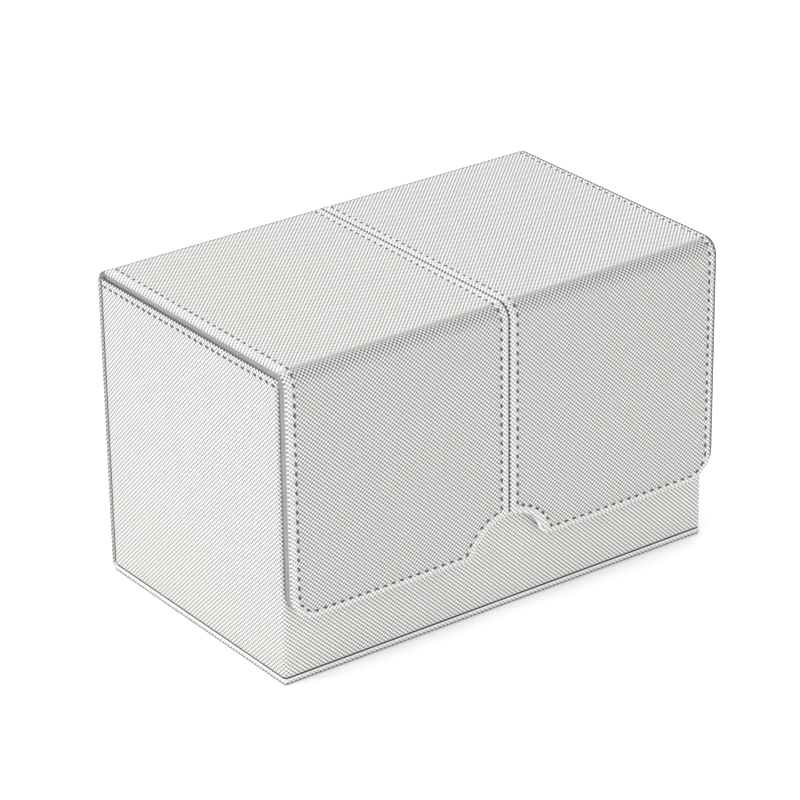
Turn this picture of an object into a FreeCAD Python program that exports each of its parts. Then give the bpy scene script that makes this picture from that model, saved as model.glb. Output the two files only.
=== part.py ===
"""Trading-card box with two flip lids above and one drawer below, built as a bench would take it apart.

A stiff cover (base panel and back panel under one leatherette skin) carries a five-walled box.
The box holds two card bays side by side on a shelf, and a drawer bay under the shelf.
Each card bay has its own lid: a top panel hinged along the back, and a flap hinged along the front.
Both hinges are bends of the leatherette itself.  The drawer slides out to the right.

Frame: millimetres, +Z up, -Y the front with the flaps, +X the side where the drawer comes out.
The origin is on the resting face, in the middle of the closed box.
"""
import FreeCAD
import Part
import math
import os

V = FreeCAD.Vector

# ---------------------------------------------------------------- sheet stock
SKIN = 0.8              # leatherette
BOARD = 1.6             # greyboard in the walls and the cover
LINING = 0.6            # microfibre
SHELF_BOARD = 2.0       # greyboard between the card bays and the drawer bay
LID_BOARD = 1.6         # greyboard in the top panel of a lid
FLAP_BOARD = 2.6        # greyboard in a flap, thick enough to hide the magnets

# ---------------------------------------------------------------- room inside
BAY_WIDTH = 81.6        # one card bay, along X: the thickness of the stack
BAY_DEPTH = 94.0        # along Y: the long side of a sleeved card
BAY_HEIGHT = 71.8       # along Z: the short side of a sleeved card and a little air
DRAWER_BAY_HEIGHT = 28.9

# ---------------------------------------------------------------- clearances
LID_GAP = 0.3           # under the top panel, above the rim of the box
FLAP_GAP = 1.0          # between a flap and the front wall
HALF_SPLIT = 0.3        # from the middle plane to the edge of either lid
DRAWER_SIDE_GAP = 0.3   # each side of the drawer and at its inner end
DRAWER_FLOOR_GAP = 0.2
DRAWER_TOP_GAP = 0.4
MAGNET_GAP = 0.05       # round a magnet in its pocket

# ---------------------------------------------------------------- bends and outlines
BEND_RADIUS = 5.5       # outside of both leatherette bends of a lid
BASE_BEND_RADIUS = 3.5  # outside of the bend from base panel to back panel
PAD_RADIUS = 0.9        # inside of the bend between lid and flap
EDGE_ROUND = 0.5        # folded edges of the cover
RIM_ROUND = 0.35        # folded edges of the box
WALL_CORNER_RADIUS = 1.6
FLAP_BOTTOM = 24.0      # height of a flap's lower edge
FLAP_CORNER_RADIUS = 10.0
NOTCH_RADIUS = 15.5     # finger notch shared by the two flaps
NOTCH_CENTRE_DROP = 4.0 # the notch's centre lies this far below the lower edge
NOTCH_LIP_RADIUS = 2.4  # where the notch runs out into the lower edge
DRAWER_NOTCH_RADIUS = 14.0  # finger notch in the drawer's face
DRAWER_NOTCH_DEPTH = 9.0

# ---------------------------------------------------------------- magnets
MAGNET_RADIUS = 5.0
FLAP_MAGNET_THICK = 1.8
WALL_MAGNET_THICK = 1.1
MAGNET_SPREAD = 25.0    # from the middle of a flap to each of its two magnets
MAGNET_ABOVE_EDGE = 13.0
DRAWER_MAGNET_RADIUS = 4.0
DRAWER_MAGNET_THICK = 1.0
DRAWER_MAGNET_SPREAD = 28.0

# ---------------------------------------------------------------- worked out: across, X
WALL = SKIN + BOARD + LINING
DIVIDER = BOARD + 2 * LINING
HALF_WIDTH = BAY_WIDTH + WALL + DIVIDER / 2
BOARD_X = HALF_WIDTH - SKIN             # outer face of the side boards
LINING_X = BOARD_X - BOARD              # outer face of the side linings
BAY_X = LINING_X - LINING               # side face of a bay
HALF_DIVIDER_BOARD = BOARD / 2
LID_MIDDLE = (HALF_WIDTH + HALF_SPLIT) / 2
LID_LEFT = -HALF_WIDTH                  # side edges of the left lid; the right lid is its mirror image
LID_RIGHT = -HALF_SPLIT

# ---------------------------------------------------------------- worked out: fore and aft, Y
COVER = SKIN + BOARD                    # base panel and back panel
FLAP_THICK = SKIN + FLAP_BOARD + LINING
OVERALL_DEPTH = COVER + BOARD + LINING + BAY_DEPTH + WALL + FLAP_GAP + FLAP_THICK
BACK = OVERALL_DEPTH / 2
FRONT = -BACK                           # outer face of the closed flaps
FLAP_INSIDE = FRONT + FLAP_THICK
WALL_FRONT = FLAP_INSIDE + FLAP_GAP     # outer face of the box's front wall
FRONT_BOARD = WALL_FRONT + SKIN
FRONT_LINING = FRONT_BOARD + BOARD
BAY_FRONT = FRONT_LINING + LINING
BAY_BACK = BAY_FRONT + BAY_DEPTH
BACK_LINING = BAY_BACK + LINING
BOX_BACK = BACK_LINING + BOARD          # the box is glued to the cover here
BAY_MIDDLE = (BAY_FRONT + BAY_BACK) / 2

# ---------------------------------------------------------------- worked out: up, Z
BOX_BOTTOM = COVER
DRAWER_FLOOR = BOX_BOTTOM + LINING
SHELF_UNDER = DRAWER_FLOOR + DRAWER_BAY_HEIGHT
SHELF_TOP = SHELF_UNDER + SHELF_BOARD
BAY_FLOOR = SHELF_TOP + LINING
RIM = BAY_FLOOR + BAY_HEIGHT
BOARD_TOP = RIM - SKIN
LID_UNDER = RIM + LID_GAP
LID_THICK = SKIN + LID_BOARD + LINING
TOP = LID_UNDER + LID_THICK
BEND_BOTTOM = TOP - BEND_RADIUS         # the bends end and the flat panels start here
LID_FRONT = FRONT + BEND_RADIUS
LID_BACK = BACK - BEND_RADIUS
MAGNET_HEIGHT = FLAP_BOTTOM + MAGNET_ABOVE_EDGE
NOTCH_CENTRE_HEIGHT = FLAP_BOTTOM - NOTCH_CENTRE_DROP


# ================================================================ small helpers
def block(x0, x1, y0, y1, z0, z1):
    """A box from its lowest to its highest corner."""
    return Part.makeBox(x1 - x0, y1 - y0, z1 - z0, V(x0, y0, z0))


def fuse(*solids):
    """Joins solids into one and drops the seams between faces in one plane."""
    return solids[0].fuse(list(solids[1:])).removeSplitter()


def disc(radius, thick, centre, axis):
    return Part.makeCylinder(radius, thick, centre, axis)


def rounded(solid, radius, keep):
    """Fillets each edge whose middle passes the test."""
    chosen = []
    for edge in solid.Edges:
        middle = edge.valueAt((edge.FirstParameter + edge.LastParameter) / 2)
        if keep(edge, middle):
            chosen.append(edge)
    return solid.makeFillet(radius, chosen)


def near(a, b):
    return abs(a - b) < 1e-4


def runs_along(edge, axis):
    """True for a straight edge along that axis."""
    if not isinstance(edge.Curve, Part.Line):
        return False
    return abs(abs(edge.Curve.Direction.dot(axis)) - 1) < 1e-6


def bar(points, x0, x1):
    """A prism along X.  points are (y, z) of a section, and a list of three is an arc through them."""
    edges = []
    last = None
    for item in points:
        if isinstance(item, list):
            start, middle, end = [V(x0, y, z) for y, z in item]
            if last and (last - start).Length > 1e-7:
                edges.append(Part.makeLine(last, start))
            edges.append(Part.Arc(start, middle, end).toShape())
            last = end
        else:
            here = V(x0, *item)
            if last:
                edges.append(Part.makeLine(last, here))
            last = here
    first = edges[0].Vertexes[0].Point
    if (last - first).Length > 1e-7:
        edges.append(Part.makeLine(last, first))
    return Part.Face(Part.Wire(edges)).extrude(V(x1 - x0, 0, 0))


def quarter(cy, cz, radius, from_deg, to_deg):
    """Three (y, z) points of an arc about a centre, for bar()."""
    points = []
    for degrees in (from_deg, (from_deg + to_deg) / 2, to_deg):
        turn = math.radians(degrees)
        points.append((cy + radius * math.cos(turn), cz + radius * math.sin(turn)))
    return points


def mirrored(solid):
    """The same piece for the right-hand lid."""
    return solid.mirror(V(0, 0, 0), V(1, 0, 0))


# ================================================================ cover: base panel and back panel
def cover_section(inset, top):
    """Section of the L-shaped cover, inset from its outer faces."""
    bend = BASE_BEND_RADIUS - inset
    cy = BACK - BASE_BEND_RADIUS
    return bar(
        [
            (WALL_FRONT + inset, inset),
            quarter(cy, BASE_BEND_RADIUS, bend, -90, 0),
            (BACK - inset, top),
            (BOX_BACK, top),
            (BOX_BACK, BOX_BOTTOM),
            (WALL_FRONT + inset, BOX_BOTTOM),
        ],
        -HALF_WIDTH + inset,
        HALF_WIDTH - inset,
    )


def cover_skin():
    """One leatherette sheet round the base panel and the back panel, folded over their edges."""
    shell = cover_section(0, BEND_BOTTOM)

    def outer_fold(edge, at):
        side = near(abs(at.x), HALF_WIDTH) and (near(at.z, 0) or near(at.y, BACK))
        lip = near(at.y, WALL_FRONT) and near(at.z, 0)
        return side or lip

    shell = rounded(shell, EDGE_ROUND, outer_fold)
    return shell.cut(cover_section(SKIN, BEND_BOTTOM + SKIN))


def base_board():
    return block(-BOARD_X, BOARD_X, FRONT_BOARD, BACK - BASE_BEND_RADIUS, SKIN, BOX_BOTTOM)


def back_board():
    return block(-BOARD_X, BOARD_X, BOX_BACK, BACK - SKIN, BASE_BEND_RADIUS, BEND_BOTTOM)


# ================================================================ box: walls, shelf and divider
def magnet_places():
    """(x, z) of the four magnets that hold the flaps shut."""
    places = []
    for side in (-1, 1):
        for step in (-MAGNET_SPREAD, MAGNET_SPREAD):
            places.append((side * (LID_MIDDLE + step), MAGNET_HEIGHT))
    return places


def wall_magnet(x, z, grow=0.0):
    depth = WALL_MAGNET_THICK + grow
    return disc(MAGNET_RADIUS + grow, depth, V(x, FRONT_BOARD, z), V(0, 1, 0))


def bay_magnet(y, grow=0.0):
    """A magnet in the inner face of the left wall, which holds the drawer shut."""
    depth = DRAWER_MAGNET_THICK + grow
    z = DRAWER_FLOOR + DRAWER_BAY_HEIGHT / 2
    return disc(DRAWER_MAGNET_RADIUS + grow, depth, V(-LINING_X, y, z), V(-1, 0, 0))


def drawer_magnet_rows():
    return [BAY_MIDDLE - DRAWER_MAGNET_SPREAD, BAY_MIDDLE + DRAWER_MAGNET_SPREAD]


def box_skin():
    """Leatherette round the left, front and right walls, folded over the rim and round the drawer's mouth."""
    outer = block(-HALF_WIDTH, HALF_WIDTH, WALL_FRONT, BOX_BACK, BOX_BOTTOM, RIM)
    outer = rounded(
        outer,
        WALL_CORNER_RADIUS,
        lambda e, at: runs_along(e, V(0, 0, 1)) and near(at.y, WALL_FRONT),
    )

    def folds(edge, at):
        foot_or_rim = near(at.z, BOX_BOTTOM) or near(at.z, RIM)
        return foot_or_rim and not near(at.y, BOX_BACK)

    outer = rounded(outer, RIM_ROUND, folds)
    boards = block(-BOARD_X, BOARD_X, FRONT_BOARD, BOX_BACK, BOX_BOTTOM, BOARD_TOP)
    room = block(-LINING_X, LINING_X, FRONT_LINING, BACK_LINING, BOX_BOTTOM, RIM)
    mouth = block(LINING_X, HALF_WIDTH, BAY_FRONT, BAY_BACK, BOX_BOTTOM, SHELF_UNDER)
    skin = outer.cut(boards).cut(room).cut(mouth)
    mouth_lip = block(LINING_X, BOARD_X, BAY_FRONT, BAY_BACK, SHELF_UNDER, SHELF_UNDER + SKIN)
    return fuse(skin, mouth_lip)


def front_wall_board():
    board = block(-BOARD_X, BOARD_X, FRONT_BOARD, FRONT_LINING, BOX_BOTTOM, BOARD_TOP)
    for x, z in magnet_places():
        board = board.cut(wall_magnet(x, z, MAGNET_GAP))
    return board


def rear_wall_board():
    return block(-BOARD_X, BOARD_X, BACK_LINING, BOX_BACK, BOX_BOTTOM, BOARD_TOP)


def left_wall_board():
    board = block(-BOARD_X, -LINING_X, FRONT_LINING, BACK_LINING, BOX_BOTTOM, BOARD_TOP)
    for y in drawer_magnet_rows():
        board = board.cut(bay_magnet(y, MAGNET_GAP))
    return board


def right_wall_board():
    """The right wall stands above the drawer's mouth."""
    wall = block(LINING_X, BOARD_X, FRONT_LINING, BACK_LINING, SHELF_UNDER, BOARD_TOP)
    lip = block(LINING_X, BOARD_X, BAY_FRONT, BAY_BACK, SHELF_UNDER, SHELF_UNDER + SKIN)
    return wall.cut(lip)


def shelf_board():
    return block(-LINING_X, LINING_X, FRONT_LINING, BACK_LINING, SHELF_UNDER, SHELF_TOP)


def divider_board():
    return block(-HALF_DIVIDER_BOARD, HALF_DIVIDER_BOARD, FRONT_LINING, BACK_LINING, SHELF_TOP, BOARD_TOP)


def divider_cap():
    """Leatherette strip over the divider's upper edge."""
    return block(-HALF_DIVIDER_BOARD, HALF_DIVIDER_BOARD, FRONT_LINING, BACK_LINING, BOARD_TOP, RIM)


def card_bay_lining(side):
    """Five-sided microfibre tray that lines one card bay."""
    xs = sorted([side * HALF_DIVIDER_BOARD, side * LINING_X])
    tray = block(xs[0], xs[1], FRONT_LINING, BACK_LINING, SHELF_TOP, RIM)
    room = block(xs[0] + LINING, xs[1] - LINING, BAY_FRONT, BAY_BACK, BAY_FLOOR, RIM + LINING)
    return tray.cut(room)


def drawer_bay_lining():
    """Microfibre on the floor and three walls of the drawer bay, out to the mouth."""
    tray = block(-LINING_X, BOARD_X, FRONT_LINING, BACK_LINING, BOX_BOTTOM, SHELF_UNDER)
    sill = block(BOARD_X, HALF_WIDTH, BAY_FRONT, BAY_BACK, BOX_BOTTOM, DRAWER_FLOOR)
    room = block(-BAY_X, HALF_WIDTH, BAY_FRONT, BAY_BACK, DRAWER_FLOOR, SHELF_UNDER)
    return fuse(tray.cut(room), sill)


# ================================================================ lids
def bend(y_outer, y_panel, sign, inside):
    """Full-thickness bend of the left lid.  sign is +1 at the back and -1 at the front."""
    cy = y_outer - sign * BEND_RADIUS
    side = 0 if sign > 0 else 180
    outer = quarter(cy, BEND_BOTTOM, BEND_RADIUS, side, 90)
    inner = quarter(y_panel - sign * inside, LID_UNDER - inside, inside, 90, side)
    return bar([outer, (cy, LID_UNDER), inner, (y_panel, BEND_BOTTOM)], LID_LEFT, LID_RIGHT)


def bend_sheet(y_outer, sign):
    """The outer sheet of a bend of the left lid: a quarter of a ring."""
    cy = y_outer - sign * BEND_RADIUS
    side = 0 if sign > 0 else 180
    outer = quarter(cy, BEND_BOTTOM, BEND_RADIUS, side, 90)
    inner = quarter(cy, BEND_BOTTOM, BEND_RADIUS - SKIN, 90, side)
    return bar([outer, inner], LID_LEFT, LID_RIGHT)


def hinge_lining():
    """Microfibre strip inside the rear bend.  Its corner follows the rim of the box at the lid's gap."""
    inside = LID_GAP
    cy = BOX_BACK - inside
    cz = LID_UNDER - inside
    section = [
        (LID_BACK, LID_UNDER),
        quarter(cy, cz, inside, 90, 0),
        (BOX_BACK, BEND_BOTTOM),
        (BOX_BACK + LINING, BEND_BOTTOM),
        quarter(cy, cz, inside + LINING, 0, 90),
        (LID_BACK, LID_UNDER + LINING),
    ]
    return bar(section, LID_LEFT + SKIN, LID_RIGHT - SKIN)


def hinge_skin():
    """The hinge of the left lid: leatherette, doubled where it takes the place of the board."""
    return bend(BACK, BOX_BACK, 1, LID_GAP).cut(hinge_lining())


def flap_bend_skin():
    return bend_sheet(FRONT, -1)


def flap_bend_lining():
    """Padded microfibre inside the bend between lid and flap."""
    return bend(FRONT, FLAP_INSIDE, -1, PAD_RADIUS).cut(flap_bend_skin())


def lid_top_skin():
    return block(LID_LEFT, LID_RIGHT, LID_FRONT, LID_BACK, TOP - SKIN, TOP)


def lid_top_board():
    return block(LID_LEFT + LINING, LID_RIGHT - LINING, LID_FRONT, LID_BACK, LID_UNDER + LINING, TOP - SKIN)


def lid_top_lining():
    """Microfibre under the top panel, folded up over its side edges."""
    tray = block(LID_LEFT, LID_RIGHT, LID_FRONT, LID_BACK, LID_UNDER, TOP - SKIN)
    return tray.cut(lid_top_board())


# ================================================================ flaps
def flap_face(inset):
    """Outline of the left flap in the plane y = 0, inset all round below its straight upper edge."""
    left = LID_LEFT + inset
    right = LID_RIGHT - inset
    foot = FLAP_BOTTOM + inset
    corner = FLAP_CORNER_RADIUS - inset
    notch = NOTCH_RADIUS + inset
    lip = NOTCH_LIP_RADIUS - inset
    # the lip is a small arc that touches the lower edge and the notch from outside
    lip_z = foot + lip
    lip_x = -math.sqrt((notch + lip) ** 2 - (lip_z - NOTCH_CENTRE_HEIGHT) ** 2)
    reach = notch / (notch + lip)
    meet = V(lip_x * reach, 0, NOTCH_CENTRE_HEIGHT + (lip_z - NOTCH_CENTRE_HEIGHT) * reach)
    notch_top = NOTCH_CENTRE_HEIGHT + math.sqrt(notch**2 - right**2)
    lip_from = -90.0
    lip_to = math.degrees(math.atan2(meet.z - lip_z, meet.x - lip_x))
    lip_mid = math.radians((lip_from + lip_to) / 2)
    notch_from = math.atan2(meet.z - NOTCH_CENTRE_HEIGHT, meet.x)
    notch_to = math.atan2(notch_top - NOTCH_CENTRE_HEIGHT, right)
    notch_mid = (notch_from + notch_to) / 2
    slant = corner * math.sqrt(0.5)
    edges = [
        Part.makeLine(V(right, 0, BEND_BOTTOM), V(left, 0, BEND_BOTTOM)),
        Part.makeLine(V(left, 0, BEND_BOTTOM), V(left, 0, foot + corner)),
        Part.Arc(
            V(left, 0, foot + corner),
            V(left + corner - slant, 0, foot + corner - slant),
            V(left + corner, 0, foot),
        ).toShape(),
        Part.makeLine(V(left + corner, 0, foot), V(lip_x, 0, foot)),
        Part.Arc(
            V(lip_x, 0, foot),
            V(lip_x + lip * math.cos(lip_mid), 0, lip_z + lip * math.sin(lip_mid)),
            meet,
        ).toShape(),
        Part.Arc(
            meet,
            V(notch * math.cos(notch_mid), 0, NOTCH_CENTRE_HEIGHT + notch * math.sin(notch_mid)),
            V(right, 0, notch_top),
        ).toShape(),
        Part.makeLine(V(right, 0, notch_top), V(right, 0, BEND_BOTTOM)),
    ]
    return Part.Face(Part.Wire(edges))


def flap_slab(inset, y0, y1):
    """The left flap's outline as a slab between two depths."""
    slab = flap_face(inset).extrude(V(0, y1 - y0, 0))
    slab.translate(V(0, y0, 0))
    return slab


def notch_zone(y0, y1):
    """A block over the notch's edge, where leatherette is folded in place of microfibre."""
    reach = NOTCH_RADIUS + NOTCH_LIP_RADIUS
    return block(-reach, LID_RIGHT, y0, y1, FLAP_BOTTOM, NOTCH_CENTRE_HEIGHT + NOTCH_RADIUS + LINING)


def flap_magnet(x, z, grow=0.0):
    face = FLAP_INSIDE - LINING
    return disc(MAGNET_RADIUS + grow, FLAP_MAGNET_THICK + grow, V(x, face, z), V(0, -1, 0))


def left_flap_magnets(grow=0.0):
    return [flap_magnet(x, z, grow) for x, z in magnet_places() if x < 0]


def flap_skin():
    return flap_slab(0, FRONT, FRONT + SKIN)


def flap_board():
    board = flap_slab(LINING, FRONT + SKIN, FLAP_INSIDE - LINING)
    for magnet in left_flap_magnets(MAGNET_GAP):
        board = board.cut(magnet)
    return board


def flap_edging():
    """Everything round the board's edge and behind it: microfibre, and leatherette at the notch."""
    whole = flap_slab(0, FRONT + SKIN, FLAP_INSIDE)
    return whole.cut(flap_slab(LINING, FRONT + SKIN, FLAP_INSIDE - LINING))


def flap_notch_trim():
    return flap_edging().common(notch_zone(FRONT + SKIN, FLAP_INSIDE - LINING))


def flap_lining():
    return flap_edging().cut(notch_zone(FRONT + SKIN, FLAP_INSIDE - LINING))


# ================================================================ drawer
DRAWER_END = -BAY_X + DRAWER_SIDE_GAP
DRAWER_FRONT_SIDE = BAY_FRONT + DRAWER_SIDE_GAP
DRAWER_REAR_SIDE = BAY_BACK - DRAWER_SIDE_GAP
DRAWER_UNDER = DRAWER_FLOOR + DRAWER_FLOOR_GAP
DRAWER_TOP = SHELF_UNDER - DRAWER_TOP_GAP


def drawer_block(inset, z_top, face_inset):
    """The drawer's outside, inset on its five outer faces."""
    return block(
        DRAWER_END + inset,
        HALF_WIDTH - face_inset,
        DRAWER_FRONT_SIDE + inset,
        DRAWER_REAR_SIDE - inset,
        DRAWER_UNDER + inset,
        z_top,
    )


def drawer_notch():
    """Finger notch in the upper edge of the drawer's face."""
    centre = V(BOARD_X - WALL, BAY_MIDDLE, DRAWER_TOP - DRAWER_NOTCH_DEPTH + DRAWER_NOTCH_RADIUS)
    return disc(DRAWER_NOTCH_RADIUS, 2 * WALL, centre, V(1, 0, 0))


def drawer_wrap():
    """Leatherette round the drawer's five outer faces, folded over its rim."""
    outer = drawer_block(0, DRAWER_TOP, 0)

    def folds(edge, at):
        return near(at.x, HALF_WIDTH) or (near(at.z, DRAWER_TOP) and not near(at.x, HALF_WIDTH))

    outer = rounded(outer, RIM_ROUND, folds)
    boards = drawer_block(SKIN, DRAWER_TOP - SKIN, SKIN)
    room = drawer_block(SKIN + BOARD, DRAWER_TOP, SKIN + BOARD)
    return outer.cut(boards).cut(room).cut(drawer_notch())


def drawer_floor_board():
    return drawer_block(SKIN, DRAWER_UNDER + SKIN + BOARD, SKIN)


def drawer_board(which):
    """One of the four upright boards of the drawer, standing on the floor board."""
    z0 = DRAWER_UNDER + SKIN + BOARD
    z1 = DRAWER_TOP - SKIN
    x0, x1 = DRAWER_END + SKIN, HALF_WIDTH - SKIN
    y0, y1 = DRAWER_FRONT_SIDE + SKIN, DRAWER_REAR_SIDE - SKIN
    if which == "front":
        return block(x0, x1, y0, y0 + BOARD, z0, z1)
    if which == "rear":
        return block(x0, x1, y1 - BOARD, y1, z0, z1)
    if which == "face":
        return block(x1 - BOARD, x1, y0 + BOARD, y1 - BOARD, z0, z1).cut(drawer_notch())
    end = block(x0, x0 + BOARD, y0 + BOARD, y1 - BOARD, z0, z1)
    for y in drawer_magnet_rows():
        end = end.cut(drawer_magnet(y, MAGNET_GAP))
    return end


def drawer_magnet(y, grow=0.0):
    centre = V(DRAWER_END + SKIN, y, DRAWER_FLOOR + DRAWER_BAY_HEIGHT / 2)
    return disc(DRAWER_MAGNET_RADIUS + grow, DRAWER_MAGNET_THICK + grow, centre, V(1, 0, 0))


def drawer_lining():
    """Five-sided microfibre tray inside the drawer."""
    tray = drawer_block(SKIN + BOARD, DRAWER_TOP, SKIN + BOARD)
    room = drawer_block(SKIN + BOARD + LINING, DRAWER_TOP + LINING, SKIN + BOARD + LINING)
    return tray.cut(room).cut(drawer_notch())


# ================================================================ the whole box
def pieces():
    """Every node's name and its solids."""
    made = {
        "cover_skin": cover_skin(),
        "base_board": base_board(),
        "back_board": back_board(),
        "box_skin": box_skin(),
        "front_wall_board": front_wall_board(),
        "rear_wall_board": rear_wall_board(),
        "left_wall_board": left_wall_board(),
        "right_wall_board": right_wall_board(),
        "shelf_board": shelf_board(),
        "divider_board": divider_board(),
        "divider_cap": divider_cap(),
        "card_bay_lining_left": card_bay_lining(-1),
        "card_bay_lining_right": card_bay_lining(1),
        "drawer_bay_lining": drawer_bay_lining(),
        "wall_magnets": Part.makeCompound([wall_magnet(x, z) for x, z in magnet_places()]),
        "bay_magnets": Part.makeCompound([bay_magnet(y) for y in drawer_magnet_rows()]),
        "drawer_wrap": drawer_wrap(),
        "drawer_floor_board": drawer_floor_board(),
        "drawer_front_side_board": drawer_board("front"),
        "drawer_rear_side_board": drawer_board("rear"),
        "drawer_face_board": drawer_board("face"),
        "drawer_end_board": drawer_board("end"),
        "drawer_lining": drawer_lining(),
        "drawer_magnets": Part.makeCompound([drawer_magnet(y) for y in drawer_magnet_rows()]),
    }
    left = {
        "hinge_skin": hinge_skin(),
        "hinge_lining": hinge_lining(),
        "lid_top_skin": lid_top_skin(),
        "lid_top_board": lid_top_board(),
        "lid_top_lining": lid_top_lining(),
        "flap_bend_skin": flap_bend_skin(),
        "flap_bend_lining": flap_bend_lining(),
        "flap_skin": flap_skin(),
        "flap_board": flap_board(),
        "flap_lining": flap_lining(),
        "flap_notch_trim": flap_notch_trim(),
        "flap_magnets": Part.makeCompound(left_flap_magnets()),
    }
    for name, solid in left.items():
        made[name + "_left"] = solid
        made[name + "_right"] = mirrored(solid)
    return made


def main():
    os.makedirs("parts", exist_ok=True)
    for name, solid in pieces().items():
        solid.exportStep(os.path.join("parts", name + ".step"))
        box = solid.BoundBox
        state = "ok" if solid.isValid() else "NOT VALID"
        size = f"{box.XLength:7.2f} {box.YLength:7.2f} {box.ZLength:7.2f}"
        print(f"{name:26s} {len(solid.Solids):2d} solid(s)  {size}  {solid.Volume:10.1f} mm3  {state}")
    print(f"closed box: {2 * HALF_WIDTH:.1f} wide, {OVERALL_DEPTH:.1f} deep, {TOP:.1f} high")


main()
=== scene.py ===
# %% [markdown]
# # A card box in white leatherette, with two flip lids and a drawer
#
# The box is made like a hardback book: greyboard panels, one sheet of leatherette glued round them, grey
# microfibre on the inside, and a line of stitching along each edge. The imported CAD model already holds
# every panel at its real size, so this lesson loads it first and never moves it. Everything that the eye
# sees as soft is then modelled round it: the leatherette sheets with their rounded folds, the microfibre
# edging, the bends that work as hinges and each stitch.

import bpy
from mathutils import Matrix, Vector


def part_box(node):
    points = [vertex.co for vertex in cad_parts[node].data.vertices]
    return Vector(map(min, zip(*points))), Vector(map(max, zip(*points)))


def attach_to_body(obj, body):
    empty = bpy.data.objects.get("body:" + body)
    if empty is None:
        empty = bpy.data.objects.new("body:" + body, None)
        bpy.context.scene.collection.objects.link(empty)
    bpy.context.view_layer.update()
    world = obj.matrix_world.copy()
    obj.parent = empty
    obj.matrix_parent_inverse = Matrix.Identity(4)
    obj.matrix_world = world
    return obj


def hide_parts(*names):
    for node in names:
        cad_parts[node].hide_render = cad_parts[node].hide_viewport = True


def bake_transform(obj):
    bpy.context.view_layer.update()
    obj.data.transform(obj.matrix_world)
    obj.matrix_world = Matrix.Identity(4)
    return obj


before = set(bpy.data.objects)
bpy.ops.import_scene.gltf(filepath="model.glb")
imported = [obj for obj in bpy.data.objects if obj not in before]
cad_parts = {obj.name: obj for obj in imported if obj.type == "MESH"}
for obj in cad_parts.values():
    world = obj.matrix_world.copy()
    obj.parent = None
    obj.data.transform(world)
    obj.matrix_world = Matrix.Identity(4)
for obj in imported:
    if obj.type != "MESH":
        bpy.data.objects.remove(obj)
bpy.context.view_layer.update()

# %% Modules and units
import math

import bmesh
import bpy
from mathutils import Matrix, Vector

MM = 0.001
scene = bpy.context.scene

# %% [markdown]
# ## Sizes
#
# Sizes could be typed in again, but then two files would have to agree. Here each one is read from the
# frame: the corners of a few nodes give the faces that the new pieces must meet. Only what a corner can't
# tell, such as the radius of a rounded outline, is written as a number. All lengths in this file are
# millimetres until a mesh is made.


# %% Faces of the box, read from the frame
def extent(node):
    """Lowest and highest corner of a CAD node, in millimetres."""
    low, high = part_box(node)
    return low / MM, high / MM


wall_low, wall_high = extent("box_skin")
cover_high = extent("cover_skin")[1]
lid_low, lid_high = extent("lid_top_skin_left")
flap_low = extent("flap_skin_left")[0]
bay_low, bay_high = extent("drawer_bay_lining")
drawer_low, drawer_high = extent("drawer_wrap")

HALF_WIDTH = wall_high.x
SPLIT = -lid_high.x  # from the middle plane to the edge of either lid
WALL_FRONT = wall_low.y
BOX_BACK = wall_high.y
BOX_BOTTOM = wall_low.z
RIM = wall_high.z
BACK = cover_high.y
BEND_BOTTOM = cover_high.z
TOP = lid_high.z
LID_FRONT, LID_BACK = lid_low.y, lid_high.y
LID_UNDER = extent("lid_top_lining_left")[0].z
FRONT = flap_low.y
FLAP_FOOT = flap_low.z
FLAP_INSIDE = extent("flap_lining_left")[1].y
SKIN = lid_high.z - lid_low.z  # leatherette
BOARD = BOX_BOTTOM - SKIN  # greyboard in the cover
LINING = extent("lid_top_board_left")[0].z - LID_UNDER  # microfibre
BEND_RADIUS = TOP - BEND_BOTTOM
LID_THICK = TOP - LID_UNDER
FLAP_THICK = FLAP_INSIDE - FRONT
COVER_THICK = BOX_BOTTOM

FLAP_CORNER = 10.0
NOTCH_RADIUS = 15.5
NOTCH_DROP = 4.0  # the notch's centre lies this far below the flap's lower edge
NOTCH_LIP = 2.4  # radius where the notch meets the flap's lower edge
SPLIT_CORNER = 1.2  # radius where it meets the split between the flaps
BASE_BEND_RADIUS = 3.5  # where the cover turns up from base to back
WALL_CORNER = 1.6  # the box's upright corners
print(f"box {2 * HALF_WIDTH:.1f} x {BACK - FRONT:.1f} x {TOP:.1f} mm, leatherette {SKIN:.1f} mm")


# %% [markdown]
# ## The camera
#
# A long lens from the left front and above keeps the vertical edges nearly parallel. The camera could be
# aimed with a constraint, but a plain matrix is exact and shows how it is built: one axis points back
# from the target, and the other two follow from it and a small roll.

# %% Camera
AZIMUTH = -36.07  # degrees from straight in front, towards the left side
ELEVATION = 25.21
DISTANCE = 1225.9
ROLL = 0.84
FOCAL_PIXELS = 3702.3  # focal length of the view, in pixels of an 800 pixel wide image
IMAGE_WIDTH = 800
TARGET = Vector((-2.5, 2.5, 56.7))


def camera_matrix():
    turn, lift, roll = (math.radians(a) for a in (AZIMUTH, ELEVATION, ROLL))
    back = Vector((math.sin(turn) * math.cos(lift), -math.cos(turn) * math.cos(lift), math.sin(lift)))
    right = (-back).cross(Vector((0, 0, 1))).normalized()
    down = (-back).cross(right)
    axis_x = right * math.cos(roll) + down * math.sin(roll)
    axis_down = down * math.cos(roll) - right * math.sin(roll)
    place = (TARGET + back * DISTANCE) * MM
    matrix = Matrix((axis_x, -axis_down, back)).transposed().to_4x4()
    matrix.translation = place
    return matrix


lens = bpy.data.cameras.new("view")
lens.sensor_width = 36.0
lens.lens = FOCAL_PIXELS / IMAGE_WIDTH * lens.sensor_width
lens.clip_end = 20.0
camera = bpy.data.objects.new("view", lens)
scene.collection.objects.link(camera)
camera.matrix_world = camera_matrix()
scene.camera = camera
print(f"camera at {[round(c, 3) for c in camera.location]} with a {lens.lens:.0f} mm lens")

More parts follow.
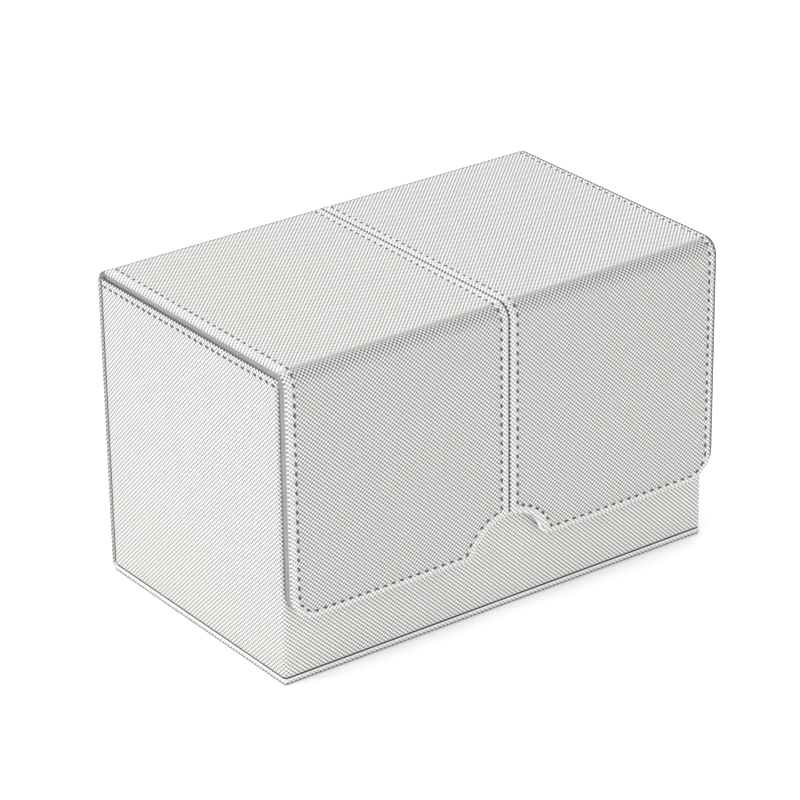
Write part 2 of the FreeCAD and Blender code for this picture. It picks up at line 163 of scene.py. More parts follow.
# %% [markdown]
# ## Routes
#
# One sheet of leatherette starts at the lip under the front wall, runs back under the box, turns up the
# back, turns forward over the lid and down to the end of the flap. All its turns are quarter turns the
# same way, so a route is a list of runs and turns, and a place on the sheet is how far along the route it
# lies, how far across, and how deep under the outer face. The wrap round the box's walls is the same
# thing seen from above.


# %% A route of runs and quarter turns
class Route:
    """Straight runs and quarter turns to the left, in a plane. Its outer face is on the right."""

    def __init__(self, start, heading, steps):
        self.legs = []
        self.marks = [0.0]  # the distance at which each leg ends
        at, turn, done = Vector(start), math.radians(heading), 0.0
        for kind, size in steps:
            self.legs.append((done, kind, size, at.copy(), turn))
            ahead = Vector((math.cos(turn), math.sin(turn)))
            left = Vector((-ahead.y, ahead.x))
            if kind == "run":
                at = at + ahead * size
                done += size
            else:
                at = at + (ahead + left) * size
                done += size * math.pi / 2
                turn += math.pi / 2
            self.marks.append(done)

    def at(self, distance, depth=0.0):
        """The point that far along and that deep under the outer face, and the outward normal there."""
        leg = self.legs[0]
        for other in self.legs:
            if distance > other[0] + 1e-9:
                leg = other
        begin, kind, size, start, turn = leg
        step = distance - begin
        if kind == "run":
            ahead = Vector((math.cos(turn), math.sin(turn)))
            normal = Vector((ahead.y, -ahead.x))
            return start + ahead * step - normal * depth, normal
        left = Vector((-math.sin(turn), math.cos(turn)))
        now = turn + step / size
        normal = Vector((math.sin(now), -math.cos(now)))
        return start + left * size + normal * (size - depth), normal


def three_walls(start, heading, side, front, corner):
    """A route along a side wall, the wall in front and the other side wall, with rounded corners."""
    steps = [("run", side - corner), ("turn", corner), ("run", front - 2 * corner)]
    return Route(start, heading, steps + [("turn", corner), ("run", side - corner)])


def stops(first, last, count):
    """Evenly spaced distances from first to last."""
    return [first + (last - first) * i / count for i in range(count + 1)]


def leg_stops(start, *legs):
    """Distances from start through each leg, given as its end and the number of steps to it."""
    places = [start]
    for end, count in legs:
        places += stops(start, end, count)[1:]
        start = end
    return places


sheet = Route(
    (WALL_FRONT, 0.0),
    0,
    [
        ("run", BACK - BASE_BEND_RADIUS - WALL_FRONT),
        ("turn", BASE_BEND_RADIUS),
        ("run", BEND_BOTTOM - BASE_BEND_RADIUS),
        ("turn", BEND_RADIUS),
        ("run", LID_BACK - LID_FRONT),
        ("turn", BEND_RADIUS),
        ("run", BEND_BOTTOM - FLAP_FOOT),
    ],
)
UNDER_END, TURN_UP, BACK_TOP, LID_START, LID_END, FLAP_TOP, FLAP_END = sheet.marks[1:]
print(f"the sheet is {FLAP_END:.0f} mm long from lip to flap")


def on_sheet(x, along, depth=0.0):
    (y, z), _ = sheet.at(along, depth)
    return Vector((x, y, z))


# %% The score line, and the painted shade at the bends
SCORE_LINE = LID_END + 1.5  # the leatherette is pressed in here, where the panel's board ends
SCORE_WIDTH = 1.3
SCORE_DEPTH = 0.06


def score_depth(along):
    return SCORE_DEPTH * math.exp(-(((along - SCORE_LINE) / SCORE_WIDTH) ** 2))


def ramp(value, low, high):
    """0 below low, 1 above high, and smooth between."""
    share = min(max((value - low) / (high - low), 0.0), 1.0)
    return share * share * (3 - 2 * share)


# painted shade: the front bend is painted greyer where it turns down from the top, for the shade there
CREASE_PAINTED_SHADE = 0.17
CREASE_BEGINS = (LID_END + 0.2, LID_END + 1.8)
CREASE_ENDS = (LID_END + 3.0, LID_END + 8.5)
HINGE_PAINTED_SHADE = 0.45  # painted shade for a dark outline along the rear top edge: at its most just before the hinge meets the lid
HINGE_FOOT_PAINTED_SHADE = 0.1  # where it leaves the back
HINGE_FOOT = BACK_TOP - 3.0
HINGE_PEAK = LID_START - 1.6
HINGE_ENDS = LID_START - 0.2


def bend_painted_shade(along):
    """Painted shade: how much greyer the sheet is painted along the score line, and over the rear hinge up
    to the lid.
    """
    crease = CREASE_PAINTED_SHADE * ramp(along, *CREASE_BEGINS) * (1 - ramp(along, *CREASE_ENDS))
    if along < BACK_TOP:
        hinge = HINGE_FOOT_PAINTED_SHADE * ramp(along, HINGE_FOOT, BACK_TOP)
    elif along < HINGE_PEAK:
        hinge = HINGE_FOOT_PAINTED_SHADE + (HINGE_PAINTED_SHADE - HINGE_FOOT_PAINTED_SHADE) * ramp(along, BACK_TOP, HINGE_PEAK)
    else:
        hinge = HINGE_PAINTED_SHADE * (1 - ramp(along, HINGE_PEAK, HINGE_ENDS))
    return crease + hinge


# %% [markdown]
# ## A helper for materials
#
# Each finish below is a small network of nodes. Wiring them by hand takes three lines a node, so one
# function adds any node with its settings and its links. Colours are written the way a colour picker
# shows them, as sRGB hex, and one function turns them into the linear values that the shader works with.
# Every pattern is laid out in the piece's own coordinates, which are metres, so a scale of 1000 gives
# grains of a millimetre.


# %% Node and colour helpers
def hex_colour(code):
    """Linear RGBA from an sRGB hex code."""
    channels = []
    for i in (0, 2, 4):
        c = int(code[i:i + 2], 16) / 255
        channels.append(c / 12.92 if c <= 0.04045 else ((c + 0.055) / 1.055) ** 2.4)
    return (*channels, 1.0)


def feed(tree, node, inputs):
    """Gives each input of a node, by name or number, a value or another node's output."""
    for socket, value in inputs.items():
        if isinstance(value, bpy.types.NodeSocket):
            tree.links.new(value, node.inputs[socket])
        else:
            node.inputs[socket].default_value = value


def add(tree, kind, inputs, out=0, **settings):
    """Adds a node with its settings and links, and returns one of its outputs."""
    node = tree.nodes.new("ShaderNode" + kind)
    for name, value in settings.items():
        setattr(node, name, value)
    feed(tree, node, inputs)
    return node.outputs[out]


COLOURS = {"data_type": "RGBA", "out": 2}  # for a Mix node: its share is input 0, its colours are 6 and 7


def new_material(name):
    """A material, its node tree, and the shader in which the tree ends."""
    made = bpy.data.materials.new(name)
    made.use_nodes = True
    tree = made.node_tree
    tree.nodes.clear()
    shader = tree.nodes.new("ShaderNodeBsdfPrincipled")
    feed(tree, tree.nodes.new("ShaderNodeOutputMaterial"), {"Surface": shader.outputs[0]})
    print("material", name)
    return made, tree, shader


# %% [markdown]
# ## Leatherette with an embossed weave
#
# The cover stock is polyurethane on a cloth backing, embossed by a heated roller with a plain weave: each
# warp thread goes over one weft thread and under the next. It could be modelled thread by thread, but a
# box this size has some two hundred thousand crossings, so the relief is worked out by a formula instead.
# Two sine waves, one along each thread direction, multiply to a chequerboard. Where the product is
# positive a warp thread lies on top, and elsewhere the weft shows, lower and painted darker for the shade
# that falls between the threads. The threads lie 0.79 mm apart across and 0.77 mm apart along the sheet,
# measured on the sheet itself: every leatherette mesh carries a map named weave, in millimetres, that
# runs on over each bend.
#
# Four things change the emboss from place to place. The score line near the front bend, where the panel's
# board ends, is pressed so hard that little of the weave is left there. Where the wrap is drawn tight
# over the walls a little of the relief is gone, and the furrows that run along the pull are deeper. The
# roller presses a little unevenly, which gives a faint cloudiness. And each mesh carries painted shading
# point by point: above 0 the sheet is painted greyer, as painted shade at bends, gaps and edges turned
# from the light, and below 0 it is painted whiter, mostly as painted light on lit strips and walls.

# %% Leatherette
THREAD_ACROSS = 0.79
THREAD_ALONG = 0.766
RELIEF = 0.11  # height of the embossing
SCORE_PRESS = 0.65  # the share of the relief that the score line flattens
CLOUD = 0.1  # how far the cloudiness moves the tone
CLOUD_SCALE = 600.0  # clouds of under 2 mm
PULL_WHITER = 0.3  # how much whiter a sheet drawn quite flat is painted, its shallow furrows holding less painted shade
FACES_AXIS = 0.7  # a face looks along an axis when its normal has more than this of it


def weave_relief(tree, across, along, lean):
    """Height of the embossed weave, from -0.5 in the furrows to 0.5 on the warp threads.

    lean deepens the furrows that run down to the right, where the sheet is drawn that way.
    """
    a = add(tree, "Math", {0: across, 1: math.pi / THREAD_ACROSS}, operation="MULTIPLY")
    b = add(tree, "Math", {0: along, 1: math.pi / THREAD_ALONG}, operation="MULTIPLY")
    warp = add(tree, "Math", {0: a}, operation="SINE")
    weft = add(tree, "Math", {0: b}, operation="SINE")
    crossings = add(tree, "Math", {0: warp, 1: weft}, operation="MULTIPLY")
    slant = add(tree, "Math", {0: a, 1: b}, operation="ADD")
    furrows = add(tree, "Math", {0: slant}, operation="COSINE")
    both = add(tree, "Math", {0: furrows, 1: -lean, 2: crossings}, operation="MULTIPLY_ADD")
    return add(tree, "Math", {0: both, 1: 0.5}, operation="MULTIPLY")


def score_press(tree, along):
    """1 on the score line, falling off to 0 on both sides like a bell."""
    off = add(tree, "Math", {0: along, 1: SCORE_LINE}, operation="SUBTRACT")
    share = add(tree, "Math", {0: off, 1: SCORE_WIDTH}, operation="DIVIDE")
    square = add(tree, "Math", {0: share, 1: share}, operation="MULTIPLY")
    fall = add(tree, "Math", {0: square, 1: -1.0}, operation="MULTIPLY")
    return add(tree, "Math", {0: fall}, operation="EXPONENT")


def sheet_coordinates(tree):
    """Millimetres across and along the sheet, from the map that each leatherette mesh carries."""
    place = add(tree, "UVMap", {}, uv_map="weave")
    return [add(tree, "SeparateXYZ", {0: place}, axis) for axis in "XY"]


def solid_coordinates(tree):
    """The same for a CAD node, which has no map.

    Across runs along X and along runs along Z. On a face that looks that way itself, Y takes over.
    """
    place = add(tree, "TexCoord", {}, "Object")
    normal = add(tree, "TexCoord", {}, "Normal")
    along_y = add(tree, "SeparateXYZ", {0: place}, "Y")
    found = []
    for axis in "XZ":
        usual = add(tree, "SeparateXYZ", {0: place}, axis)
        facing = add(tree, "Math", {0: add(tree, "SeparateXYZ", {0: normal}, axis)}, operation="ABSOLUTE")
        looks_that_way = add(tree, "Math", {0: facing, 1: FACES_AXIS}, operation="GREATER_THAN")
        metres = add(tree, "Mix", {0: looks_that_way, 2: usual, 3: along_y}, data_type="FLOAT")
        found.append(add(tree, "Math", {0: metres, 1: MM}, operation="DIVIDE"))
    return found


def leatherette(name, coordinates, pull=0.0, lean=0.0):
    """White polyurethane, roller-embossed: soft satin ridges, and furrows painted grey for the shade in
    them.

    pull says how much of the emboss is gone where the sheet is drawn tight over a wall.
    """
    made, tree, shader = new_material(name)
    across, along = coordinates(tree)
    pressed = score_press(tree, along)
    left_over = add(tree, "Math", {0: pressed, 1: -SCORE_PRESS, 2: 1.0 - pull}, operation="MULTIPLY_ADD")
    relief = weave_relief(tree, across, along, lean)
    height = add(tree, "Math", {0: relief, 1: left_over, 2: 0.5}, operation="MULTIPLY_ADD")
    place = add(tree, "TexCoord", {}, "Object")
    cloud = add(tree, "TexNoise", {"Vector": place, "Scale": CLOUD_SCALE, "Detail": 2.0})
    whiter = PULL_WHITER * pull - CLOUD / 2
    uneven = add(tree, "Math", {0: cloud, 1: CLOUD, 2: whiter}, operation="MULTIPLY_ADD")
    tone = add(tree, "Math", {0: height, 1: uneven}, operation="ADD")
    # painted shading from each mesh: above 0 it darkens the tone as painted shade, below 0 it lightens it as
    # painted light
    painted_shading = add(tree, "Attribute", {}, "Fac", attribute_name="painted_shading")
    tone = add(tree, "Math", {0: tone, 1: painted_shading}, operation="SUBTRACT")
    # the furrows come out grey and the ridges white: the grey is painted shade for the shade in the furrows
    colour = add(tree, "Mix", {0: tone, 6: hex_colour("464442"), 7: hex_colour("fffefc")}, **COLOURS)
    bump = add(tree, "Bump", {"Strength": 1.0, "Distance": RELIEF * MM, "Height": height})
    feed(tree, shader, {"Base Color": colour, "Roughness": 0.55, "IOR": 1.5, "Normal": bump})
    return made


LEATHERETTE = leatherette("leatherette_embossed", sheet_coordinates)
LEATHERETTE_TIGHT = leatherette("leatherette_embossed_drawn_tight", sheet_coordinates, pull=0.03, lean=0.2)
LEATHERETTE_SOLID = leatherette("leatherette_embossed_on_solid", solid_coordinates, pull=0.08)
print("leatherette: one thread every", THREAD_ACROSS, "x", THREAD_ALONG, "mm")

# %% [markdown]
# ## Leatherette turned over an edge
#
# Where the sheet is pulled round a finger notch the emboss is stretched flat, and what is left is the
# smooth white of the polyurethane with a fine grain, drawn at 0.4 mm so that it shows.


# %% Turned leatherette
def turned_leatherette():
    made, tree, shader = new_material("leatherette_turned")
    place = add(tree, "TexCoord", {}, "Object")
    grain = add(tree, "TexNoise", {"Vector": place, "Scale": 2500.0, "Detail": 3.0})
    colour = add(tree, "Mix", {0: grain, 6: hex_colour("f6f6f5"), 7: hex_colour("ffffff")}, **COLOURS)
    bump = add(tree, "Bump", {"Strength": 0.5, "Distance": 0.03 * MM, "Height": grain})
    feed(tree, shader, {"Base Color": colour, "Roughness": 0.5, "IOR": 1.5, "Normal": bump})
    return made


TURNED = turned_leatherette()

# %% [markdown]
# ## Microfibre
#
# The lining is a brushed microfibre suede. Its pile is far finer than a pixel, so it shows as a matt grey
# with soft mottling where the pile lies one way or the other, and a pale sheen at grazing angles. The
# pile is drawn at about 0.4 mm, coarser than the fibres themselves, so that it shows, and the patches in
# which it lies one way are about 11 mm wide. The painted shading turns it nearly black: painted shade for
# the shadow line in the gap under an edge.


# %% Microfibre
LAY_SHARE = 0.35  # how much the lay of the pile shows beside the pile itself


def microfibre():
    made, tree, shader = new_material("microfibre_brushed")
    place = add(tree, "TexCoord", {}, "Object")
    pile = add(tree, "TexNoise", {"Vector": place, "Scale": 2600.0, "Detail": 4.0, "Roughness": 0.7})
    lay = add(tree, "TexNoise", {"Vector": place, "Scale": 90.0, "Detail": 2.0})
    mottle = add(tree, "Math", {0: lay, 1: LAY_SHARE, 2: pile}, operation="MULTIPLY_ADD")
    unshaded = add(tree, "Mix", {0: mottle, 6: hex_colour("4e4e4d"), 7: hex_colour("a4a4a3")}, **COLOURS)
    painted_shading = add(tree, "Attribute", {}, "Fac", attribute_name="painted_shading")
    # painted shade: the shading attribute mixes the microfibre to near black, for the shadow line in a gap
    colour = add(tree, "Mix", {0: painted_shading, 6: unshaded, 7: hex_colour("1c1c1c")}, **COLOURS)
    bump = add(tree, "Bump", {"Strength": 0.6, "Distance": 0.06 * MM, "Height": pile})
    feed(tree, shader, {"Base Color": colour, "Roughness": 0.95, "Normal": bump})
    feed(tree, shader, {"Sheen Weight": 0.25, "Sheen Roughness": 0.5, "Specular IOR Level": 0.2})
    return made


MICROFIBRE = microfibre()

# %% [markdown]
# ## Greyboard, magnets and thread
#
# Greyboard is pressed waste paper, so it has flecks. The magnets are sintered and nickel-plated by
# tumbling, which leaves a bright metal with a faint orange-peel. The thread is three-ply polyester: its
# twist is the only thing that shows, as fine slanting lines half a millimetre apart.


# %% Greyboard
FLECK_SIZE = 0.12  # as a share of the cells in which the flecks lie


def greyboard():
    made, tree, shader = new_material("greyboard_pressed")
    place = add(tree, "TexCoord", {}, "Object")
    fibre = add(tree, "TexNoise", {"Vector": place, "Scale": 700.0, "Detail": 5.0, "Roughness": 0.7})
    fleck = add(tree, "TexVoronoi", {"Vector": place, "Scale": 500.0})
    dark = add(tree, "Math", {0: fleck, 1: FLECK_SIZE}, operation="LESS_THAN")
    pulp = add(tree, "Mix", {0: fibre, 6: hex_colour("8d8779"), 7: hex_colour("aaa495")}, **COLOURS)
    colour = add(tree, "Mix", {0: dark, 6: pulp, 7: hex_colour("6d675b")}, **COLOURS)
    bump = add(tree, "Bump", {"Strength": 0.5, "Distance": 0.05 * MM, "Height": fibre})
    feed(tree, shader, {"Base Color": colour, "Roughness": 0.9, "Normal": bump})
    return made


GREYBOARD = greyboard()


# %% Magnets
def nickel():
    made, tree, shader = new_material("nickel_tumbled")
    place = add(tree, "TexCoord", {}, "Object")
    peel = add(tree, "TexNoise", {"Vector": place, "Scale": 1500.0, "Detail": 2.0})
    colour = add(tree, "Mix", {0: peel, 6: hex_colour("b9b6b0"), 7: hex_colour("cbc8c2")}, **COLOURS)
    bump = add(tree, "Bump", {"Strength": 0.3, "Distance": 0.01 * MM, "Height": peel})
    feed(tree, shader, {"Base Color": colour, "Metallic": 1.0, "Roughness": 0.28, "Normal": bump})
    return made


NICKEL = nickel()

# %% Thread, and the painted shade in the needle holes and in the joint
PLY_SPACING = 0.5  # from one ply of the thread to the next


def thread():
    made, tree, shader = new_material("polyester_thread_twisted")
    along, around = sheet_coordinates(tree)
    slant = add(tree, "Math", {0: along, 1: around}, operation="ADD")
    turn = add(tree, "Math", {0: slant, 1: math.pi / PLY_SPACING}, operation="MULTIPLY")
    wave = add(tree, "Math", {0: turn}, operation="SINE")
    twist = add(tree, "Math", {0: wave}, operation="ABSOLUTE")
    colour = add(tree, "Mix", {0: twist, 6: hex_colour("b4b4b3"), 7: hex_colour("f0f0ef")}, **COLOURS)
    bump = add(tree, "Bump", {"Strength": 0.7, "Distance": 0.05 * MM, "Height": twist})
    feed(tree, shader, {"Base Color": colour, "Roughness": 0.6, "Normal": bump, "Sheen Weight": 0.1})
    return made


def shaded(name, scale, detail, darkest, lightest, roughness):
    """A dark finish that paints deep shade: no relief to see, only a fine mottling."""
    made, tree, shader = new_material(name)
    place = add(tree, "TexCoord", {}, "Object")
    mottle = add(tree, "TexNoise", {"Vector": place, "Scale": scale, "Detail": detail})
    colour = add(tree, "Mix", {0: mottle, 6: hex_colour(darkest), 7: hex_colour(lightest)}, **COLOURS)
    feed(tree, shader, {"Base Color": colour, "Roughness": roughness, "Specular IOR Level": 0.1})
    return made


THREAD = thread()
# painted shade: inside a needle hole, and in the joint round the foot of the box
HOLE_SHADE = shaded("needle_hole_painted_shade", 1800.0, 2.0, "484847", "767674", 0.9)
JOINT_SHADE = shaded("joint_painted_shade", 2200.0, 3.0, "1e1e1e", "3a3a39", 0.95)

# %% [markdown]
# ## Meshes from rows of points
#
# Every soft piece here is a sheet that follows a route: over a bend, round a corner, along an outline.
# Extruding and bevelling would do, but the weave has to run on over the bends in real millimetres, and
# only a mesh built from rows of points keeps count of them. A Shell collects points, each with its place
# on the sheet, and joins rows into faces.


# %% The Shell
class Shell:
    """Collects points, their places on the sheet, and faces. make() turns them into an object."""

    def __init__(self):
        self.points = []
        self.weave = []
        self.painted_shading = []
        self.faces = []

    def row(self, points, weave, painted_shading=0.0):
        """Adds a row of points. painted_shading, the painted shade (above 0) or painted light (below 0)
        there, is one value or one for each point.
        """
        first = len(self.points)
        self.points.extend(points)
        self.weave.extend(weave)
        self.painted_shading.extend(painted_shading if isinstance(painted_shading, list) else [painted_shading] * len(points))
        return list(range(first, first + len(points)))

    def join(self, a, b, closed=False):
        """Quads between two rows of as many points."""
        count = len(a)
        for i in range(count if closed else count - 1):
            k = (i + 1) % count
            self.faces.append((a[i], a[k], b[k], b[i]))

    def loft(self, rows, closed=True, caps=True):
        for a, b in zip(rows, rows[1:]):
            self.join(a, b, closed)
        if caps:
            self.faces.append(tuple(rows[0]))
            self.faces.append(tuple(reversed(rows[-1])))

    def make(self, name, material, slot, smooth_under=40.0):
        mesh = bpy.data.meshes.new(name)
        mesh.from_pydata([p * MM for p in self.points], [], self.faces)
        layer = mesh.uv_layers.new(name="weave")
        for corner in mesh.loops:
            layer.data[corner.index].uv = self.weave[corner.vertex_index]
        # the painted shading goes on each mesh as a point attribute, read by the materials
        mesh.attributes.new("painted_shading", "FLOAT", "POINT").data.foreach_set("value", self.painted_shading)
        work = bmesh.new()
        work.from_mesh(mesh)
        bmesh.ops.recalc_face_normals(work, faces=work.faces)
        work.to_mesh(mesh)
        work.free()
        mesh.shade_smooth()
        mesh.set_sharp_from_angle(angle=math.radians(smooth_under))
        mesh.materials.append(material)
        made = bpy.data.objects.new(name, mesh)
        scene.collection.objects.link(made)
        print(f"{name}: {len(mesh.polygons)} faces")
        return made


# %% [markdown]
# ## Across a lid
#
# Across a lid the sheet isn't flat. Its cut edge is rounded by the roller that presses it down, the strip
# outside the stitching swells a little, and the stitching pulls a shallow groove. That section is worked
# out once, as depth against distance from the edge, and every piece of both lids uses it, so that grooves
# meet at each bend.

# %% The section of a stitched edge
EDGE_ROUND = 0.35  # rounding of the cut edge
SWELL = 0.10  # how far the strip outside the stitching stands up
GROOVE = 0.16  # how deep the stitching pulls the sheet in
# widths of these three, in shares of the way from the edge to the stitching
ROUND_SHARE, SWELL_SHARE, GROOVE_SHARE = 0.13, 0.95, 0.11
SEAM_AT_TOP = {"left": 4.0, "right": 2.4}  # from a lid's outer edge to the stitching, on the top panel
SEAM_AT_FLAP = {"left": 3.1, "right": 3.0}  # the same on the flap
SEAM_AT_SPLIT = 2.95  # from the edges along the split between the lids
SEAM_AT_FOOT = 2.1  # from the flap's lower edge
SEAM_AT_NOTCH = 2.9  # from the finger notch
# shares of the way from the edge to the stitching: close together over the rounded edge and the groove
OUTER_STOPS = [0.0, 0.02, 0.05, 0.09, 0.14]
GROOVE_STOPS = [0.24, 0.4, 0.55, 0.7, 0.8, 0.87, 0.94, 1.0, 1.06, 1.13, 1.2, 1.35, 1.6]
FLAT_STOPS = [2.2, 2.4]


def seam_depth(share):
    """Depth of the outer face at a share of the way from the edge to the stitching."""
    near_edge = 1 - min(share / ROUND_SHARE, 1)
    rounding = EDGE_ROUND * (1 - math.sqrt(max(0.0, 1 - near_edge**2)))
    swell = SWELL * math.sin(math.pi * min(share / SWELL_SHARE, 1))
    groove = GROOVE * math.exp(-(((share - 1) / GROOVE_SHARE) ** 2))
    return rounding - swell + groove


SKIN_SECTION = [(0.0, SKIN)]
SKIN_SECTION += [(share, seam_depth(share)) for share in OUTER_STOPS + GROOVE_STOPS]
SKIN_SECTION += [(share, 0.0) for share in FLAT_STOPS]
print(f"a stitched edge has {len(SKIN_SECTION)} points")

# %% Across a lid
SIDES = {"left": -1, "right": 1}
# painted shade along the right edge, which faces away from the light
RIGHT_EDGE_PAINTED_SHADE = 0.62
RIGHT_EDGE_BAND = (HALF_WIDTH - 1.7, HALF_WIDTH - 0.6)  # it grows between these
# painted shade at the gap between the lids
SPLIT_PAINTED_SHADE = 0.13
SPLIT_BAND = (SPLIT + 0.08, SPLIT + 0.25)  # and this fades between these
# painted light on the swollen hem strip
HEM_PAINTED_LIGHT = 0.16
HEM_BEGINS, HEM_ENDS = (0.0, 0.15), (0.75, 0.95)
TOP_HEM = 0.5  # on the top panel the hem's painted light is half what it is on bend and flap
LID_FOLD_REACH = 0.5  # how far the painted shade on the lining's fold reaches up: the shadow line in the gap under it
BACK_FOLD_REACH = 0.4  # and gains this towards the back
FLAP_FOLD_REACH = 1.0  # on a flap
FOLD_DARK_END = (0.02, 0.3)  # inside the fold the painted shade fades between these


def outer_seam(side, along):
    """Distance from a lid's outer edge to its stitching, which changes over the front bend."""
    share = ramp(along, LID_END, FLAP_TOP)
    return SEAM_AT_TOP[side] + (SEAM_AT_FLAP[side] - SEAM_AT_TOP[side]) * share


def lid_x(side, outer_edge, distance):
    """x of a point that far from the outer edge of a lid, or from its edge at the split."""
    x = HALF_WIDTH - distance if outer_edge else SPLIT + distance
    return SIDES[side] * x


def hem_painted_light(share):
    """Painted light: the swollen strip between the edge and the stitching is painted whiter, for the light
    it catches.
    """
    return -HEM_PAINTED_LIGHT * ramp(share, *HEM_BEGINS) * (1 - ramp(share, *HEM_ENDS))


def lid_painted_shade(x, along):
    """Painted shade: greyer over the bends, along the right edge, which faces away from the light, and at
    the gap of the split.
    """
    right = RIGHT_EDGE_PAINTED_SHADE * ramp(x, *RIGHT_EDGE_BAND)
    split = SPLIT_PAINTED_SHADE * (1 - ramp(abs(x), *SPLIT_BAND))
    return bend_painted_shade(along) + right + split


def fold_painted_shade(inset, depth, under, reach):
    """Painted shade on the lining's fold along its lower edge, for the shadow in the gap below it: from
    reach above it to just inside.
    """
    return ramp(depth, under - reach, under - 0.5 * reach) * (1 - ramp(inset, *FOLD_DARK_END))


def skin_row(shell, side, along, section=SKIN_SECTION):
    """One closed row of leatherette across a lid.

    section starts under an edge and ends on the flat face, in shares of the way to the stitching.
    """
    points, weave, painted_shading = [], [], []
    hem = 1.0 if along > LID_END else TOP_HEM
    for outer_edge, half in ((True, section), (False, reversed(section))):
        seam = outer_seam(side, along) if outer_edge else SEAM_AT_SPLIT
        for share, depth in half:
            x = lid_x(side, outer_edge, share * seam)
            pressed = score_depth(along) if depth < SKIN / 2 else 0.0
            points.append(on_sheet(x, along, depth + pressed))
            weave.append((x, along))
            painted_shading.append(lid_painted_shade(x, along) + hem * hem_painted_light(share))
    return shell.row(points, weave, painted_shading)


def lining_row(shell, side, along, section):
    """One closed row of microfibre across a lid.

    section starts on the inner face and ends at the leatherette or the board, in distances from the edge.
    """
    points, weave, painted_shading = [], [], []
    under = section[0][1]
    reach = LID_FOLD_REACH + BACK_FOLD_REACH * (1 - ramp(along, LID_START, LID_END))
    for outer_edge, half in ((True, section), (False, reversed(section))):
        for inset, depth in half:
            x = lid_x(side, outer_edge, inset)
            points.append(on_sheet(x, along, depth))
            weave.append((x, along))
            painted_shading.append(fold_painted_shade(inset, depth, under, reach))
    return shell.row(points, weave, painted_shading)


# %% Lid tops, front bends and rear hinges
TOP_STEPS = 8
BEND_STEPS = 24
HINGE_SQUARENESS = 8  # 2 makes the inner face round, and more makes it squarer
PAD_SQUARENESS = 5
HINGE_SHOWS = (0.3, 0.75)  # the hinge's lining comes into sight between these shares of the bend


def inner_radius(share, at_start, at_end, squareness):
    """Distance from a bend's centre to its inner face, part of the way round the quarter turn."""
    turn = share * math.pi / 2
    a = abs(math.cos(turn)) / at_start
    b = abs(math.sin(turn)) / at_end
    return (a**squareness + b**squareness) ** (-1 / squareness)


def bend_along(piece, begin, end):
    """Bakes a piece's transform into its mesh; the bend's ends, a and b, are worked out but not used."""
    a, b = on_sheet(0, begin), on_sheet(0, end)
    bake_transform(piece)


def bend_front(piece):
    bend_along(piece, LID_END, FLAP_TOP)


def bend_rear(piece):
    bend_along(piece, BACK_TOP, LID_START)


def lid_top(side):
    shell = Shell()
    rows = [skin_row(shell, side, along) for along in stops(LID_START, LID_END, TOP_STEPS)]
    shell.loft(rows)
    made = shell.make(f"lid_top_sheet_{side}", LEATHERETTE, "leatherette")
    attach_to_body(made, f"lid_{side}")
    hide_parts(f"lid_top_skin_{side}")


def front_bend(side):
    shell = Shell()
    rows = [skin_row(shell, side, along) for along in stops(LID_END, FLAP_TOP, BEND_STEPS)]
    shell.loft(rows)
    made = shell.make(f"front_bend_sheet_{side}", LEATHERETTE, "leatherette")
    bend_front(made)
    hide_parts(f"flap_bend_skin_{side}")


def rear_inner(along):
    """Depth of the rear hinge's inner face, depth where its lining starts, and how far the lining shows."""
    share = (along - BACK_TOP) / (LID_START - BACK_TOP)
    inner = inner_radius(share, BOX_BACK - LID_BACK, LID_UNDER - BEND_BOTTOM, HINGE_SQUARENESS)
    under = BEND_RADIUS - inner
    shown = ramp(share, *HINGE_SHOWS)
    upper = under - LINING - (under - LINING - SKIN) * shown
    return under, upper, shown


def rear_hinge(side):
    """Leatherette. At the back, where it is folded round the panel's edge, the whole edge is white."""
    shell = Shell()
    rows = []
    for along in stops(BACK_TOP, LID_START, BEND_STEPS):
        _, upper, _ = rear_inner(along)
        rows.append(skin_row(shell, side, along, [(0.0, upper)] + SKIN_SECTION[1:]))
    shell.loft(rows)
    made = shell.make(f"rear_hinge_sheet_{side}", LEATHERETTE, "leatherette")
    bend_rear(made)
    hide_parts(f"hinge_skin_{side}")


for side in SIDES:
    lid_top(side)
    front_bend(side)
    rear_hinge(side)

# %% [markdown]
# ## Microfibre under the lids
#
# The lining is one piece of microfibre: it covers the inside of the lid, folds up over the board's side
# edges as the grey band that shows under the leatherette, and goes on round both bends. Its folded edge
# is soft, so it gets a small rounding of its own.

# %% Linings of lid and bends
FOLD_ROUND = 0.45
FOLD_STEPS = 5
FOLD_INNER, FOLD_OUTER = 3.0, 1.2  # two points of the inner face, to keep the quads beside the fold short
FOLD_DARKENS = 1.0  # the fold's painted shade may start from this far above the inner face
FOLD_SHARE = 0.75  # of a thin lining's thickness, for the radius of its fold
HINGE_TUCK = 0.4  # at the back, the hinge's lining stays this far inside the leatherette
END_TURN = 0.2  # behind the board the lining is turned up to the leatherette


def arc(centre, radius, from_deg, to_deg, steps):
    """Points of a round stretch, from one angle to another."""
    points = []
    for i in range(steps + 1):
        turn = math.radians(from_deg + (to_deg - from_deg) * i / steps)
        points.append((centre[0] + radius * math.cos(turn), centre[1] + radius * math.sin(turn)))
    return points


def lining_section(under, board_under):
    """Half of a tray: inner face at depth under, side wall up to the leatherette, board inside."""
    return (
        [(FOLD_INNER, under), (FOLD_OUTER, under)]
        + arc((FOLD_ROUND, under - FOLD_ROUND), FOLD_ROUND, 90, 180, FOLD_STEPS)
        + [(0.0, under - FOLD_DARKENS), (0.0, SKIN), (LINING, SKIN), (LINING, board_under)]
    )


